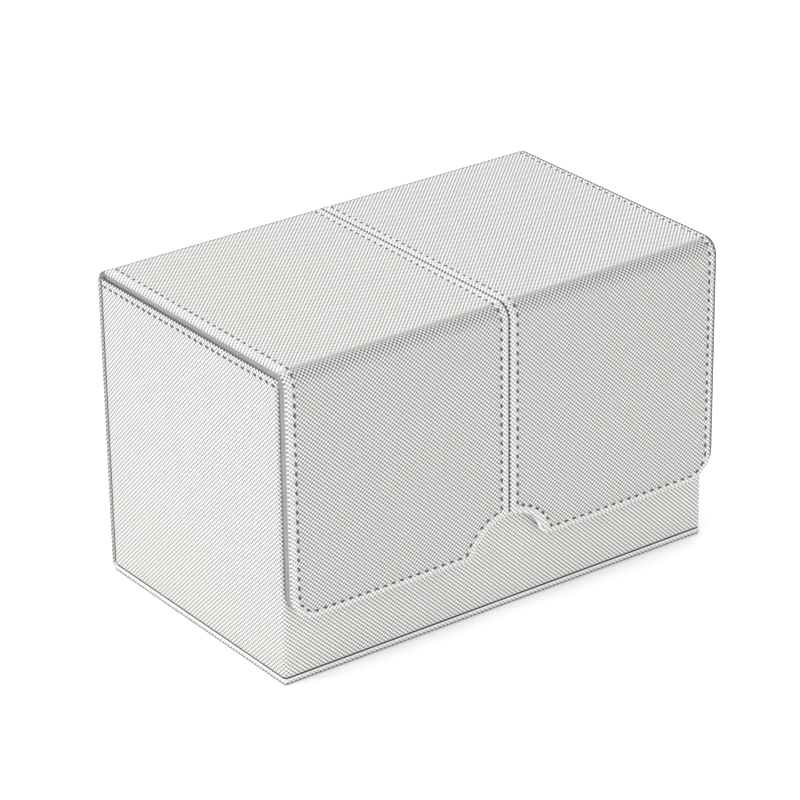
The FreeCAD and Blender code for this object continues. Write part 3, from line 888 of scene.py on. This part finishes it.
def lid_lining(side):
    shell = Shell()
    section = lining_section(LID_THICK, LID_THICK - LINING)
    shell.loft([lining_row(shell, side, along, section) for along in (LID_START, LID_END)])
    turned_up = section[:-2]  # without the tray's inside
    shell.loft([lining_row(shell, side, along, turned_up) for along in (LID_START - END_TURN, LID_START)])
    made = shell.make(f"lid_lining_{side}", MICROFIBRE, "microfibre")
    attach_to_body(made, f"lid_{side}")
    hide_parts(f"lid_top_lining_{side}")


def front_bend_lining(side):
    """Inside the front bend there is no board: the microfibre lies on padding."""
    shell = Shell()
    rows = []
    for along in stops(LID_END, FLAP_TOP, BEND_STEPS):
        share = (along - LID_END) / (FLAP_TOP - LID_END)
        inner = inner_radius(share, LID_UNDER - BEND_BOTTOM, LID_FRONT - FLAP_INSIDE, PAD_SQUARENESS)
        section = lining_section(BEND_RADIUS - inner, SKIN)[:-1]
        rows.append(lining_row(shell, side, along, section))
    shell.loft(rows)
    made = shell.make(f"front_bend_lining_{side}", MICROFIBRE, "microfibre")
    bend_front(made)
    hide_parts(f"flap_bend_lining_{side}")


def rear_hinge_lining(side):
    """At the lid it is as thick as the band there; towards the back it thins to the microfibre alone."""
    shell = Shell()
    rows = []
    for along in stops(BACK_TOP, LID_START, BEND_STEPS):
        under, upper, shown = rear_inner(along)
        tuck = HINGE_TUCK * (1 - shown)
        radius = min(FOLD_ROUND, FOLD_SHARE * (under - upper))
        section = [(FOLD_INNER, under), (FOLD_OUTER, under)]
        section += arc((tuck + radius, under - radius), radius, 90, 180, FOLD_STEPS)
        section.append((tuck, upper))
        rows.append(lining_row(shell, side, along, section))
    shell.loft(rows)
    made = shell.make(f"rear_hinge_lining_{side}", MICROFIBRE, "microfibre")
    bend_rear(made)
    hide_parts(f"hinge_lining_{side}")


for side in SIDES:
    lid_lining(side)
    front_bend_lining(side)
    rear_hinge_lining(side)

# %% [markdown]
# ## Flaps
#
# A flap hangs flat in front of the box. Its outline has a wide rounded corner outside and half of the
# finger notch inside. The outline could be drawn once and shrunk, but shrinking a rounded corner spoils
# it, so a function gives the outline at any inset, with each arc's radius worked out afresh. Rows at
# growing insets then make the sheet: its cut edge, the swollen strip, the groove and the flat middle.


# %% The outline of a flap
CORNER_STEPS = 14
LIP_STEPS = 6
NOTCH_STEPS = 18
SPLIT_STEPS = 5
EDGE_RUN = 12.0  # a straight edge has one point this far from its rounded end
EDGE_TOP = BEND_BOTTOM - 30.0  # and one at this height
LEAST_LIP = 0.4  # radii that an inset can't shrink further
LEAST_SPLIT_CORNER = 0.3
NOTCH_PART = slice(CORNER_STEPS + 4, -4)  # the outline's points from the notch's lip to the split


def flap_outline(outer, foot_inset, notch_inset, split_inset):
    """(x, z) of the left flap: down its outer edge, round the foot and the notch, and up the split."""
    left = -HALF_WIDTH + outer
    right = -SPLIT - split_inset
    foot = FLAP_FOOT + foot_inset
    notch_z = FLAP_FOOT - NOTCH_DROP
    corner = FLAP_CORNER - max(outer, foot_inset)
    points = [(left, BEND_BOTTOM), (left, EDGE_TOP), (left, foot + corner + EDGE_RUN)]
    points += arc((left + corner, foot + corner), corner, 180, 270, CORNER_STEPS)
    notch = NOTCH_RADIUS + notch_inset
    lip = max(NOTCH_LIP - foot_inset, LEAST_LIP)
    lip_z = foot + lip
    lip_x = -math.sqrt((notch + lip) ** 2 - (lip_z - notch_z) ** 2)
    toward = math.degrees(math.atan2(notch_z - lip_z, -lip_x))
    points += arc((lip_x, lip_z), lip, -90, toward, LIP_STEPS)
    top_corner = max(SPLIT_CORNER - split_inset, LEAST_SPLIT_CORNER)
    corner_x = right - top_corner
    corner_z = notch_z + math.sqrt((notch + top_corner) ** 2 - corner_x**2)
    begin = toward + 180
    end = math.degrees(math.atan2(corner_z - notch_z, corner_x))
    points += arc((0, notch_z), notch, begin, end, NOTCH_STEPS)[1:]
    points += arc((corner_x, corner_z), top_corner, end - 180, 0, SPLIT_STEPS)[1:]
    points += [(right, corner_z + EDGE_RUN), (right, EDGE_TOP), (right, BEND_BOTTOM)]
    return points


def flap_row(shell, side, insets, depth, lined, share=0.0):
    """One open row round a flap at the given insets and depth."""
    points, weave, painted_shading = [], [], []
    for x, z in flap_outline(*insets):
        points.append(Vector((-SIDES[side] * x, FRONT + depth, z)))
        weave.append((-SIDES[side] * x, FLAP_TOP + BEND_BOTTOM - z))
        if lined:
            painted_shading.append(fold_painted_shade(insets[0], depth, FLAP_THICK, FLAP_FOLD_REACH))
        else:
            painted_shading.append(lid_painted_shade(*weave[-1]) + hem_painted_light(share))
    return shell.row(points, weave, painted_shading)


def seam_insets(side, share):
    return (share * SEAM_AT_FLAP[side], share * SEAM_AT_FOOT, share * SEAM_AT_NOTCH, share * SEAM_AT_SPLIT)


def flap_shell(side, rows_of, lined=False):
    """A closed shell from rows round a flap: its two faces, its edge and the end that meets the bend."""
    shell = Shell()
    rows = [flap_row(shell, side, insets, depth, lined, share) for insets, depth, share in rows_of]
    shell.loft(rows, closed=False)
    shell.faces.append(tuple([row[0] for row in rows] + [row[-1] for row in reversed(rows)]))
    return shell


def flap_sheet(side):
    shell = flap_shell(side, [(seam_insets(side, share), depth, share) for share, depth in SKIN_SECTION])
    made = shell.make(f"flap_sheet_{side}", LEATHERETTE, "leatherette")
    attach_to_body(made, f"flap_{side}")
    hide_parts(f"flap_skin_{side}")


def flap_lining(side):
    section = lining_section(FLAP_THICK, FLAP_THICK - LINING)[1:]
    shell = flap_shell(side, [((inset,) * 4, depth, 0.0) for inset, depth in section], lined=True)
    made = shell.make(f"flap_lining_sheet_{side}", MICROFIBRE, "microfibre")
    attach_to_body(made, f"flap_{side}")
    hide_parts(f"flap_lining_{side}")


for side in SIDES:
    flap_sheet(side)
    flap_lining(side)

# %% [markdown]
# ## The turned edge of the notch
#
# Fingers pull at the notch, so there the leatherette is turned over the board's edge instead of ending
# there. It is a separate strip, a hair proud of the microfibre, that follows the notch from its lip to
# the split. Behind it the microfibre shows as a dark line, partly in real shade and partly painted shade on
# the lining's fold.

# %% Notch trims
TRIM_PROUD = 0.06  # over the microfibre
TRIM_THICK = 0.3
TRIM_REACH = 3.1  # it ends short of the inner face, and the microfibre shows behind it


def notch_trim(side):
    shell = Shell()
    section = [(TRIM_THICK, SKIN), (-TRIM_PROUD, SKIN)]
    section += arc((TRIM_THICK - TRIM_PROUD, TRIM_REACH), TRIM_THICK, 180, 90, FOLD_STEPS)
    edges = [flap_outline(inset, inset, inset, inset)[NOTCH_PART] for inset, _ in section]
    rows = []
    for i, places in enumerate(zip(*edges)):
        points = []
        for (x, z), (_, depth) in zip(places, section):
            points.append(Vector((-SIDES[side] * x, FRONT + depth, z)))
        rows.append(shell.row(points, [(i, k) for k in range(len(points))]))
    shell.loft(rows)
    made = shell.make(f"notch_turned_edge_{side}", TURNED, "leatherette")
    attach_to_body(made, f"flap_{side}")
    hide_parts(f"flap_notch_trim_{side}")


for side in SIDES:
    notch_trim(side)

# %% [markdown]
# ## Cover and box wrap
#
# The cover is the same sheet as the lids, cut to the full width and folded over the board's edges. The
# box's walls have a wrap of their own, which goes round the left, front and right walls and over their
# rims. Where the two meet, both folds are rounded, and a dark strip between them, painted shade, stands
# in for the shadow in the joint round the foot of the box.

# %% Cover
COVER_ROUND = 0.55
COVER_CORNER = 1.0  # the lip's corners, seen from above
LIP_THICK = 2.0  # the cover is pressed thinner along its folded edge
LIP_ROUND = 0.4
LIP_STEP = SKIN + 0.3  # where the pressed edge ends
COVER_INNER = SKIN + 0.6  # and the cover has its whole thickness
FOOT_PAINTED_SHADOW = 0.5  # painted shadow: the outermost turn of the fold is painted grey for the contact shadow on the table
LIP_PAINTED_WHITER = 0.5  # inside that, the fold is painted whiter than the sheet
REAR_EDGE_PAINTED_SHADE = 0.22  # but up the back it is painted greyer, as painted shade along the rear edges
FOOT_SHADOW_ENDS, INSIDE_BEGINS = (0.1, 0.4), (0.3, 0.6)  # both in lengths of sheet past the edge
LEAST_COVER_CORNER = 0.15
COVER_CORNER_STEPS = 6
CORNER_LEAD = 2.0  # the lip has a point this far before its corner
FOLD_LEAD = 1.4  # the section starts this far in from the edge, on the outer face
FACE_LEAD = 6.0  # and before that comes one point of the flat face


def fold_section():
    """(inset, depth, girth) round a panel's folded edge. girth is the length of sheet past the edge."""
    section = (
        [(FOLD_LEAD, 0.0)]
        + arc((COVER_ROUND, COVER_ROUND), COVER_ROUND, 270, 180, FOLD_STEPS)
        + arc((LIP_ROUND, LIP_THICK - LIP_ROUND), LIP_ROUND, 180, 90, FOLD_STEPS)
        + [(LIP_STEP, LIP_THICK), (COVER_INNER, COVER_THICK), (COVER_INNER, SKIN)]
    )
    girth, made = -FOLD_LEAD, []
    for i, (inset, depth) in enumerate(section):
        if i:
            girth += math.dist(section[i - 1], section[i])
        made.append((inset, depth, girth))
    return [(FACE_LEAD, 0.0, -FACE_LEAD)] + made


def cover_edge(inset):
    """(x, along, whether this is the front lip) down the left side and round the lip's corner."""
    radius = max(COVER_CORNER - inset, LEAST_COVER_CORNER)
    left = -HALF_WIDTH + inset
    under = ((UNDER_END / 2, 1), (inset + radius + CORNER_LEAD, 1))
    distances = leg_stops(BACK_TOP, (TURN_UP, 6), (UNDER_END, 10), *under)
    places = [(left, distance, False) for distance in distances]
    corner = arc((left + radius, inset + radius), radius, 180, 270, COVER_CORNER_STEPS)
    places += [(x, along, i >= COVER_CORNER_STEPS / 2) for i, (x, along) in enumerate(corner)]
    return places


def cover():
    shell = Shell()
    rows = []
    for inset, depth, girth in fold_section():
        left = cover_edge(inset)
        both = left + [(-x, along, front) for x, along, front in reversed(left)]
        points = [on_sheet(x, along, depth) for x, along, _ in both]
        weave, painted_shading = [], []
        # painted shadow at the fold's outer turn; further in, painted shade up the back and a whiter lip
        foot_shadow = FOOT_PAINTED_SHADOW * ramp(girth, -FOLD_LEAD, 0.0) * (1 - ramp(girth, *FOOT_SHADOW_ENDS))
        for x, along, front in both:
            past = girth + inset
            weave.append((x, along - past) if front else (x + math.copysign(past, x), along))
            upright = ramp(along, UNDER_END, TURN_UP)
            face = REAR_EDGE_PAINTED_SHADE * upright - LIP_PAINTED_WHITER * (1 - upright)
            painted_shading.append(foot_shadow + face * ramp(girth, *INSIDE_BEGINS))
        rows.append(shell.row(points, weave, painted_shading))
    shell.loft(rows, closed=False, caps=False)
    for row in (rows[0], rows[-1]):
        count = len(row) // 2
        for i in range(count - 1):
            shell.faces.append((row[i], row[i + 1], row[-2 - i], row[-1 - i]))
    shell.faces.append(tuple([row[0] for row in rows] + [row[-1] for row in reversed(rows)]))
    made = shell.make("cover_sheet", LEATHERETTE, "leatherette")
    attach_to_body(made, "case")
    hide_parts("cover_skin")


cover()

# %% Wrap of the box's walls
FOOT_ROUND = 0.45
FOOT_GAP = 0.5  # the wrap stops this far short of the cover, and the joint shows dark with painted shade behind it
RIM_FOLD = 0.3  # radius of the fold over the rim
RIM_SWELL = 0.05  # how far that fold stands out from the wall
RIM_DROP = 0.2  # the wrap is pressed down this far under the lid
WALL_SEAM_DROP = 2.3  # from the rim down to the stitching
WALL_FLAT_FROM = 5.0  # between these, from foot and rim, a wall is flat
WALL_FLAT_TO = 8.0
FOOT_STEPS = 4
RIM_STEPS = 6
RIM_ZONE = 2.0  # within this of the rim the weave runs on over it, inwards
WRAP_BACK = BACK - LIP_THICK - FOOT_GAP
wrap = three_walls((-HALF_WIDTH, WRAP_BACK), 270, WRAP_BACK - WALL_FRONT, 2 * HALF_WIDTH, WALL_CORNER)
LEFT_END, FRONT_START, FRONT_END, RIGHT_START, WRAP_END = wrap.marks[1:]
MOUTH_START = RIGHT_START + bay_low.y + LINING - WALL_FRONT - WALL_CORNER
MOUTH_END = MOUTH_START + bay_high.y - bay_low.y - 2 * LINING
MOUTH_TOP = bay_high.z
RIM_WIDTH = SKIN + BOARD
WALL_PAINTED_LIGHT = 0.05  # painted light: the walls are painted whiter than the cover, as their lit faces look
FRONT_PAINTED_LIGHT = 0.06  # and the front wall is painted whiter still, making up for the shade that the flaps cast on it


def wall_section(foot):
    """(z, depth) of the wrap: up the wall, over the rim, and back down inside along the board."""
    section = arc((foot + FOOT_ROUND, FOOT_ROUND), FOOT_ROUND, 180, 270, FOOT_STEPS)
    section += [(foot + WALL_FLAT_FROM, 0.0), (RIM - WALL_FLAT_TO, 0.0)]
    section += [(RIM - share * WALL_SEAM_DROP, seam_depth(share)) for share in reversed(GROOVE_STOPS)]
    rim = RIM - RIM_DROP
    section += arc((rim - RIM_FOLD, RIM_FOLD - RIM_SWELL), RIM_FOLD, 270, 360, RIM_STEPS)
    section += [(rim, RIM_WIDTH), (RIM - SKIN, RIM_WIDTH), (RIM - SKIN, SKIN), (foot, SKIN)]
    return section


def wall_piece(shell, section, distances):
    """A closed stretch of the wrap. At both ends of the wrap its edge is folded in."""
    rows = []
    for distance in distances:
        points, weave = [], []
        to_end = min(distance, WRAP_END - distance)
        end_fold = FOOT_ROUND - math.sqrt(FOOT_ROUND**2 - max(FOOT_ROUND - to_end, 0) ** 2)
        for z, depth in section:
            (x, y), _ = wrap.at(distance, depth + end_fold * (depth < SKIN / 2))
            points.append(Vector((x, y, z)))
            weave.append((distance, z + max(depth - RIM_FOLD, 0) * (z > RIM - RIM_ZONE)))
        tight = ramp(distance, LEFT_END, FRONT_START) * (1 - ramp(distance, FRONT_END, RIGHT_START))
        # painted light on the walls, more on the front wall
        rows.append(shell.row(points, weave, -WALL_PAINTED_LIGHT - FRONT_PAINTED_LIGHT * tight))
    shell.loft(rows)


def box_wrap():
    shell = Shell()
    whole = wall_section(LIP_THICK + FOOT_GAP)
    left = ((FOOT_ROUND, 4), (LEFT_END, 4))
    front = ((FRONT_START, 8), (FRONT_END, 4), (RIGHT_START, 8))
    wall_piece(shell, whole, leg_stops(0.0, *left, *front, (MOUTH_START, 1)))
    wall_piece(shell, wall_section(MOUTH_TOP), leg_stops(MOUTH_START, (MOUTH_END, 4)))
    wall_piece(shell, whole, leg_stops(MOUTH_END, (WRAP_END - FOOT_ROUND, 1), (WRAP_END, 4)))
    made = shell.make("box_wrap", LEATHERETTE_TIGHT, "leatherette")
    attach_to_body(made, "case")
    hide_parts("box_skin")


box_wrap()


# %% Painted shade in the joint
JOINT_DEPTH = 0.3  # from the wall's face in to the painted shade strip
JOINT_WIDTH = 0.25
JOINT_TUCK = 0.15  # how far the strip goes on behind both edges
JOINT_RIM = 0.6  # it ends this far under the rim


def joint_shade_strip():
    """A dark strip of painted shade behind the gap between wrap and cover: round the foot, and up both ends
    at the back.
    """
    shell = Shell()
    low, high = LIP_THICK - JOINT_TUCK, LIP_THICK + FOOT_GAP + JOINT_TUCK
    near, far = JOINT_DEPTH, JOINT_DEPTH + JOINT_WIDTH
    foot = [(low, near), (high, near), (high, far), (low, far)]
    rows = []
    around = ((LEFT_END, 2), (FRONT_START, 4), (FRONT_END, 2), (RIGHT_START, 4), (WRAP_END, 2))
    for distance in leg_stops(0.0, *around):
        points = [Vector((*wrap.at(distance, depth)[0], z)) for z, depth in foot]
        rows.append(shell.row(points, [(distance, z) for z, _ in foot]))
    shell.loft(rows)
    first, last = WRAP_BACK - JOINT_TUCK, WRAP_BACK + FOOT_GAP + JOINT_TUCK
    upright = [(near, first), (far, first), (far, last), (near, last)]
    for sign in SIDES.values():
        rows = []
        for z in (low, RIM - RIM_DROP - JOINT_RIM):
            points = [Vector((sign * (HALF_WIDTH - depth), y, z)) for depth, y in upright]
            rows.append(shell.row(points, [(depth, z) for depth, _ in upright]))
        shell.loft(rows)
    made = shell.make("joint_shade_strip", JOINT_SHADE, "leatherette")
    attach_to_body(made, "case")


joint_shade_strip()

# %% [markdown]
# ## Finishes for what stays CAD
#
# The boards, the trays inside and the drawer have the right shape already. They keep their meshes and
# only get a finish.

# %% Finishes by name
KINDS = (("magnet", NICKEL), ("lining", MICROFIBRE), ("board", GREYBOARD))


def finish_for(node):
    for word, material in KINDS:
        if word in node:
            return material
    return LEATHERETTE_SOLID


for name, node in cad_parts.items():
    if node.hide_render:
        continue
    node.data.materials.clear()
    node.data.materials.append(finish_for(name))
    print(f"{name}: {node.data.materials[0].name}")

# %% [markdown]
# ## Stitching
#
# Each stitch is a short length of thread that comes up through one needle hole and goes down through the
# next. A dashed line painted on would look flat from close by, so every stitch is a small arched tube,
# and every hole has a small dark dish on it, painted with the shade inside the hole. A stitch line is
# sampled at the pitch of the machine, and the stitches are then shared out to the piece that they sit
# on.

# %% Stitches along a line
PITCH = 3.3
THREAD_RADIUS = 0.24
THREAD_SIDES = 8
STITCH_STEPS = 8
STITCH_START = 0.24  # shares of the pitch: where a stitch comes up, and how much of it shows
STITCH_SPAN = 0.52
STITCH_RISE = 1.5  # in thread radii: how high its middle arches over its ends
STITCH_SINK = 1.1  # and how deep its ends lie
STITCH_END = 0.45  # the thread's radius at the ends, as a share
SLIT_LENGTH = 1.75
SLIT_WIDTH = 0.95
SLIT_SIDES = 10
SLIT_RINGS = ((0.9, -0.3), (1.0, 0.06), (0.55, 0.0))  # share of the full size, height over the sheet
LID_LEAN = -0.3  # radians by which the slits lean from the seam's own direction
WALL_LEAN = 0.35
CROSS_LEAN = -0.6  # where a seam runs along x its slits lean the other way, and less
SEAM_END = 2.0  # a seam on a wall starts and ends this far from the wall's ends


def resample(points, pitch):
    """Evenly spaced points along a line, close to the pitch, ends included."""
    reach = [0.0]
    for a, b in zip(points, points[1:]):
        reach.append(reach[-1] + (Vector(b) - Vector(a)).length)
    count = max(1, round(reach[-1] / pitch))
    made, k = [], 0
    for i in range(count + 1):
        want = reach[-1] * i / count
        while k < len(reach) - 2 and reach[k + 1] < want:
            k += 1
        share = (want - reach[k]) / max(reach[k + 1] - reach[k], 1e-9)
        made.append(Vector(points[k]).lerp(Vector(points[k + 1]), share))
    return made


def ring(count):
    """Angles once round."""
    return [2 * math.pi * k / count for k in range(count)]


def stitch(shell, place, a, b):
    """An arched tube from hole a to hole b of the flat sheet. place(point, height) lays it on the piece."""
    ahead = (place(b, 0) - place(a, 0)).normalized()
    rows = []
    for i in range(STITCH_STEPS + 1):
        share = STITCH_START + STITCH_SPAN * i / STITCH_STEPS
        flat = a.lerp(b, share)
        arch = math.sqrt(math.sin(math.pi * i / STITCH_STEPS))
        rise = THREAD_RADIUS * (STITCH_RISE * arch - STITCH_SINK)
        width = THREAD_RADIUS * (STITCH_END + (1 - STITCH_END) * arch)
        centre = place(flat, rise - GROOVE)
        up = (place(flat, 1.0) - place(flat, 0.0)).normalized()
        beside = ahead.cross(up).normalized()
        points, weave = [], []
        for turn in ring(THREAD_SIDES):
            points.append(centre + beside * width * math.cos(turn) + up * width * math.sin(turn))
            weave.append(((b - a).length * share, width * turn))
        rows.append(shell.row(points, weave))
    shell.loft(rows)


def slit(shell, place, at, ahead, scale):
    """A dark dish painted with the shade of a needle hole: a closed dish that lies in the groove."""
    beside = Vector((-ahead.y, ahead.x))
    rows = []
    for size, height in SLIT_RINGS:
        points, weave = [], []
        for turn in ring(SLIT_SIDES):
            reach = ahead * (SLIT_LENGTH / 2 * math.cos(turn)) + beside * (SLIT_WIDTH / 2 * math.sin(turn))
            points.append(place(at + reach * size * scale, height))
            weave.append((at.x, at.y))
        rows.append(shell.row(points, weave))
    shell.loft(rows)


def sew(name, lines, attach, scale=1.0):
    """Threads and painted hole shades for lines of (holes, place, lean). attach gives a piece its body."""
    threads, needle_hole_shades = Shell(), Shell()
    for holes, place, lean in lines:
        for a, b in zip(holes, holes[1:]):
            stitch(threads, place, a, b)
            ahead = (b - a).normalized()
            turn = lean if abs(ahead.x) < abs(ahead.y) else lean * CROSS_LEAN
            spun = Vector((
                ahead.x * math.cos(turn) - ahead.y * math.sin(turn),
                ahead.x * math.sin(turn) + ahead.y * math.cos(turn),
            ))
            slit(needle_hole_shades, place, a, spun, scale)
    for shell, kind, material in ((threads, "stitches", THREAD), (needle_hole_shades, "needle_hole_shades", HOLE_SHADE)):
        attach(shell.make(f"{kind}_{name}", material, "thread"))


# %% The stitch lines of both lids
BACK_SEAM = BACK_TOP - 100.0  # the seams run down the back to here
SEAM_STEPS = 120
SHEET_REGIONS = (
    ("back", 0.0, BACK_TOP),
    ("hinge", BACK_TOP, LID_START),
    ("top", LID_START, LID_END),
    ("bend", LID_END, FLAP_TOP),
    ("flap", FLAP_TOP, math.inf),
)
# a slack lid lets the holes close
SLIT_SCALE = {"back": 0.75, "hinge": 0.75, "top": 0.75, "bend": 0.85, "flap": 0.93}


def lid_place(flat, height):
    """A point on the lid's sheet: flat.x across, flat.y along the sheet."""
    return on_sheet(flat.x, flat.y, -height)


def flap_seam(side):
    """The seam of one lid as (x, along): down the outer edge, round the flap, and back along the split."""
    outline = flap_outline(*seam_insets(side, 1.0))
    down = [(-SIDES[side] * x, FLAP_TOP + BEND_BOTTOM - z) for x, z in outline]
    outer = [(lid_x(side, True, outer_seam(side, a)), a) for a in stops(BACK_SEAM, FLAP_TOP, SEAM_STEPS)]
    split = [(lid_x(side, False, SEAM_AT_SPLIT), a) for a in stops(FLAP_TOP, BACK_SEAM, SEAM_STEPS)]
    return outer + down[1:-1] + split


def sew_lid(side):
    """Shares the stitches of one lid's seam out to the pieces that they sit on."""
    holes = resample(flap_seam(side), PITCH)
    for region, low, high in SHEET_REGIONS:
        lines, run = [], []
        for a, b in zip(holes, holes[1:]):
            middle = (a.y + b.y) / 2
            if low <= middle < high:
                if not run:
                    run.append(a)
                    lines.append((run, lid_place, LID_LEAN))
                run.append(b)
            else:
                run = []

        def attach(piece, region=region):
            if region == "hinge":
                bend_rear(piece)
            elif region == "bend":
                bend_front(piece)
            else:
                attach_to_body(piece, {"back": "case", "top": f"lid_{side}", "flap": f"flap_{side}"}[region])

        sew(f"{region}_{side}", lines, attach, SLIT_SCALE[region])


for side in SIDES:
    sew_lid(side)


# %% The stitch line along the rim of the walls
def wall_place(flat, height):
    """A point on the wrap of the walls: flat.x round them, flat.y its height."""
    (x, y), _ = wrap.at(flat.x, -height)
    return Vector((x, y, flat.y))


wall_seam_z = RIM - WALL_SEAM_DROP
rim_line = resample([(SEAM_END, wall_seam_z), (WRAP_END - SEAM_END, wall_seam_z)], PITCH)
sew("walls", [(rim_line, wall_place, WALL_LEAN)], lambda piece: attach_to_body(piece, "case"))

# %% [markdown]
# ## The drawer's trimmings
#
# The drawer is a small open box in the same leatherette, and its CAD nodes already have its shape. What
# they lack is what a maker adds by hand: a strip of leatherette glued round the notch, because the bare
# board would show there, and a line of stitching under the rim that dips below the notch.

# %% Strip round the drawer's notch
DRAWER_NOTCH = 14.0  # radius
DRAWER_NOTCH_RISE = 5.0  # the notch's centre stands this far over the rim
DRAWER_NOTCH_STEPS = 28
DRAWER_DIP_STEPS = 24  # for the seam below it
DRAWER_WALL = SKIN + BOARD + LINING
STRIP_THICK = 0.15
STRIP_REACH = 0.6  # how far it goes down on both faces of the wall
STRIP_PROUD = 0.03  # over those faces
STRIP_ROUND = 0.12  # its edges are rounded this far in
drawer_middle = (drawer_low.y + drawer_high.y) / 2
drawer_notch_z = drawer_high.z + DRAWER_NOTCH_RISE


def drawer_arc(radius, rim, steps):
    """(y, z) along a circle about the notch's centre, below the given height."""
    turn = math.degrees(math.asin((drawer_notch_z - rim) / radius))
    return arc((drawer_middle, drawer_notch_z), radius, 180 + turn, 360 - turn, steps)


def drawer_notch_strip():
    shell = Shell()
    outer, inner = drawer_high.x + STRIP_PROUD, drawer_high.x - DRAWER_WALL - STRIP_PROUD
    rounded = STRIP_PROUD + STRIP_ROUND
    section = [(outer, STRIP_REACH), (outer, 0.0), (outer - rounded, -STRIP_THICK)]
    section += [(inner + rounded, -STRIP_THICK), (inner, 0.0), (inner, STRIP_REACH)]
    lines = [(x, drawer_arc(DRAWER_NOTCH + deep, drawer_high.z, DRAWER_NOTCH_STEPS)) for x, deep in section]
    rows = []
    for i in range(DRAWER_NOTCH_STEPS + 1):
        points = [Vector((x, *line[i])) for x, line in lines]
        rows.append(shell.row(points, [(x, i) for x, _ in lines]))
    shell.loft(rows)
    made = shell.make("drawer_notch_turned_edge", TURNED, "leatherette")
    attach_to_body(made, "drawer")


drawer_notch_strip()

# %% Stitching round the drawer
drawer_side = drawer_high.x - drawer_low.x
drawer_width = drawer_high.y - drawer_low.y
DRAWER_CORNER = 0.3
drawer_round = three_walls((drawer_low.x, drawer_low.y), 0, drawer_side, drawer_width, DRAWER_CORNER)


def drawer_place(flat, height):
    """A point on the drawer's walls: flat.x round them, flat.y its height."""
    (x, y), _ = drawer_round.at(flat.x, -height)
    return Vector((x, y, flat.y))


drawer_seam_z = drawer_high.z - WALL_SEAM_DROP
face_start = drawer_round.marks[2] - drawer_low.y - DRAWER_CORNER
dip = drawer_arc(DRAWER_NOTCH + SEAM_AT_NOTCH, drawer_seam_z, DRAWER_DIP_STEPS)
drawer_line = [(SEAM_END, drawer_seam_z)]
drawer_line += [(face_start + y, z) for y, z in dip]
drawer_line.append((drawer_round.marks[-1] - SEAM_END, drawer_seam_z))
drawer_holes = resample(drawer_line, PITCH)
sew("drawer", [(drawer_holes, drawer_place, WALL_LEAN)], lambda piece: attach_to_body(piece, "drawer"))

# %% [markdown]
# ## Studio
#
# A pale table, a bright surround and two large soft lamps, one on the left and one above: the left side
# is then the brightest, the top a little less and the front is the darkest, and all shadows stay faint.

# %% Floor
FLOOR_HALF = 3.0  # metres
FLOOR_DROP = 0.0001  # below the box, so that the two faces don't fight
FLOOR_GLOW = 0.22  # keeps the paper white between the lamps


def studio_floor():
    mesh = bpy.data.meshes.new("floor")
    signs = ((-1, -1), (1, -1), (1, 1), (-1, 1))
    mesh.from_pydata([(x * FLOOR_HALF, y * FLOOR_HALF, -FLOOR_DROP) for x, y in signs], [], [(0, 1, 2, 3)])
    made, tree, shader = new_material("floor_paper_white")
    feed(tree, shader, {"Base Color": hex_colour("f4f4f4"), "Roughness": 0.9})
    feed(tree, shader, {"Emission Color": (1, 1, 1, 1), "Emission Strength": FLOOR_GLOW})
    mesh.materials.append(made)
    floor = bpy.data.objects.new("floor", mesh)
    scene.collection.objects.link(floor)


studio_floor()

# %% Surround
SURROUND_LEVEL = 0.5
SURROUND_SIDES = (  # a direction, and how much brighter the surround is there
    ((-1, 0, 0), 0.35),
    ((0, -1, 0), 0.2),
    ((1, 0, 0), 0.15),
)


def surround():
    """A white surround, brightest on the left and darkest behind."""
    world = bpy.data.worlds.new("studio")
    world.use_nodes = True
    tree = world.node_tree
    tree.nodes.clear()
    direction = add(tree, "TexCoord", {}, "Generated")
    strength = SURROUND_LEVEL
    for toward, amount in SURROUND_SIDES:
        facing = add(tree, "VectorMath", {0: direction, 1: toward}, "Value", operation="DOT_PRODUCT")
        near = add(tree, "Math", {0: facing, 1: 0.0}, operation="MAXIMUM")
        strength = add(tree, "Math", {0: near, 1: amount, 2: strength}, operation="MULTIPLY_ADD")
    background = add(tree, "Background", {"Color": (1, 1, 1, 1), "Strength": strength})
    feed(tree, tree.nodes.new("ShaderNodeOutputWorld"), {"Surface": background})
    scene.world = world
    scene.view_settings.view_transform = "Standard"
    print("surround:", SURROUND_LEVEL, "and more towards", [toward for toward, _ in SURROUND_SIDES])


surround()

# %% Lamps
LAMPS = (  # name, place in metres, side in metres, watts
    ("key_left", (-2.2, -0.5, 1.3), 1.2, 12.1),
    ("top", (-0.2, 0.3, 2.4), 1.6, 41.0),
)
LAMP_TARGET = Vector((0, 0, 0.05))


def soft_light(name, place, side, watts):
    lamp = bpy.data.lights.new(name, "AREA")
    lamp.shape = "SQUARE"
    lamp.size = side
    lamp.energy = watts
    made = bpy.data.objects.new(name, lamp)
    scene.collection.objects.link(made)
    made.location = place
    made.rotation_euler = (LAMP_TARGET - Vector(place)).to_track_quat("-Z", "Y").to_euler()
    print(f"{name}: {watts} W over {side} m")


for lamp in LAMPS:
    soft_light(*lamp)
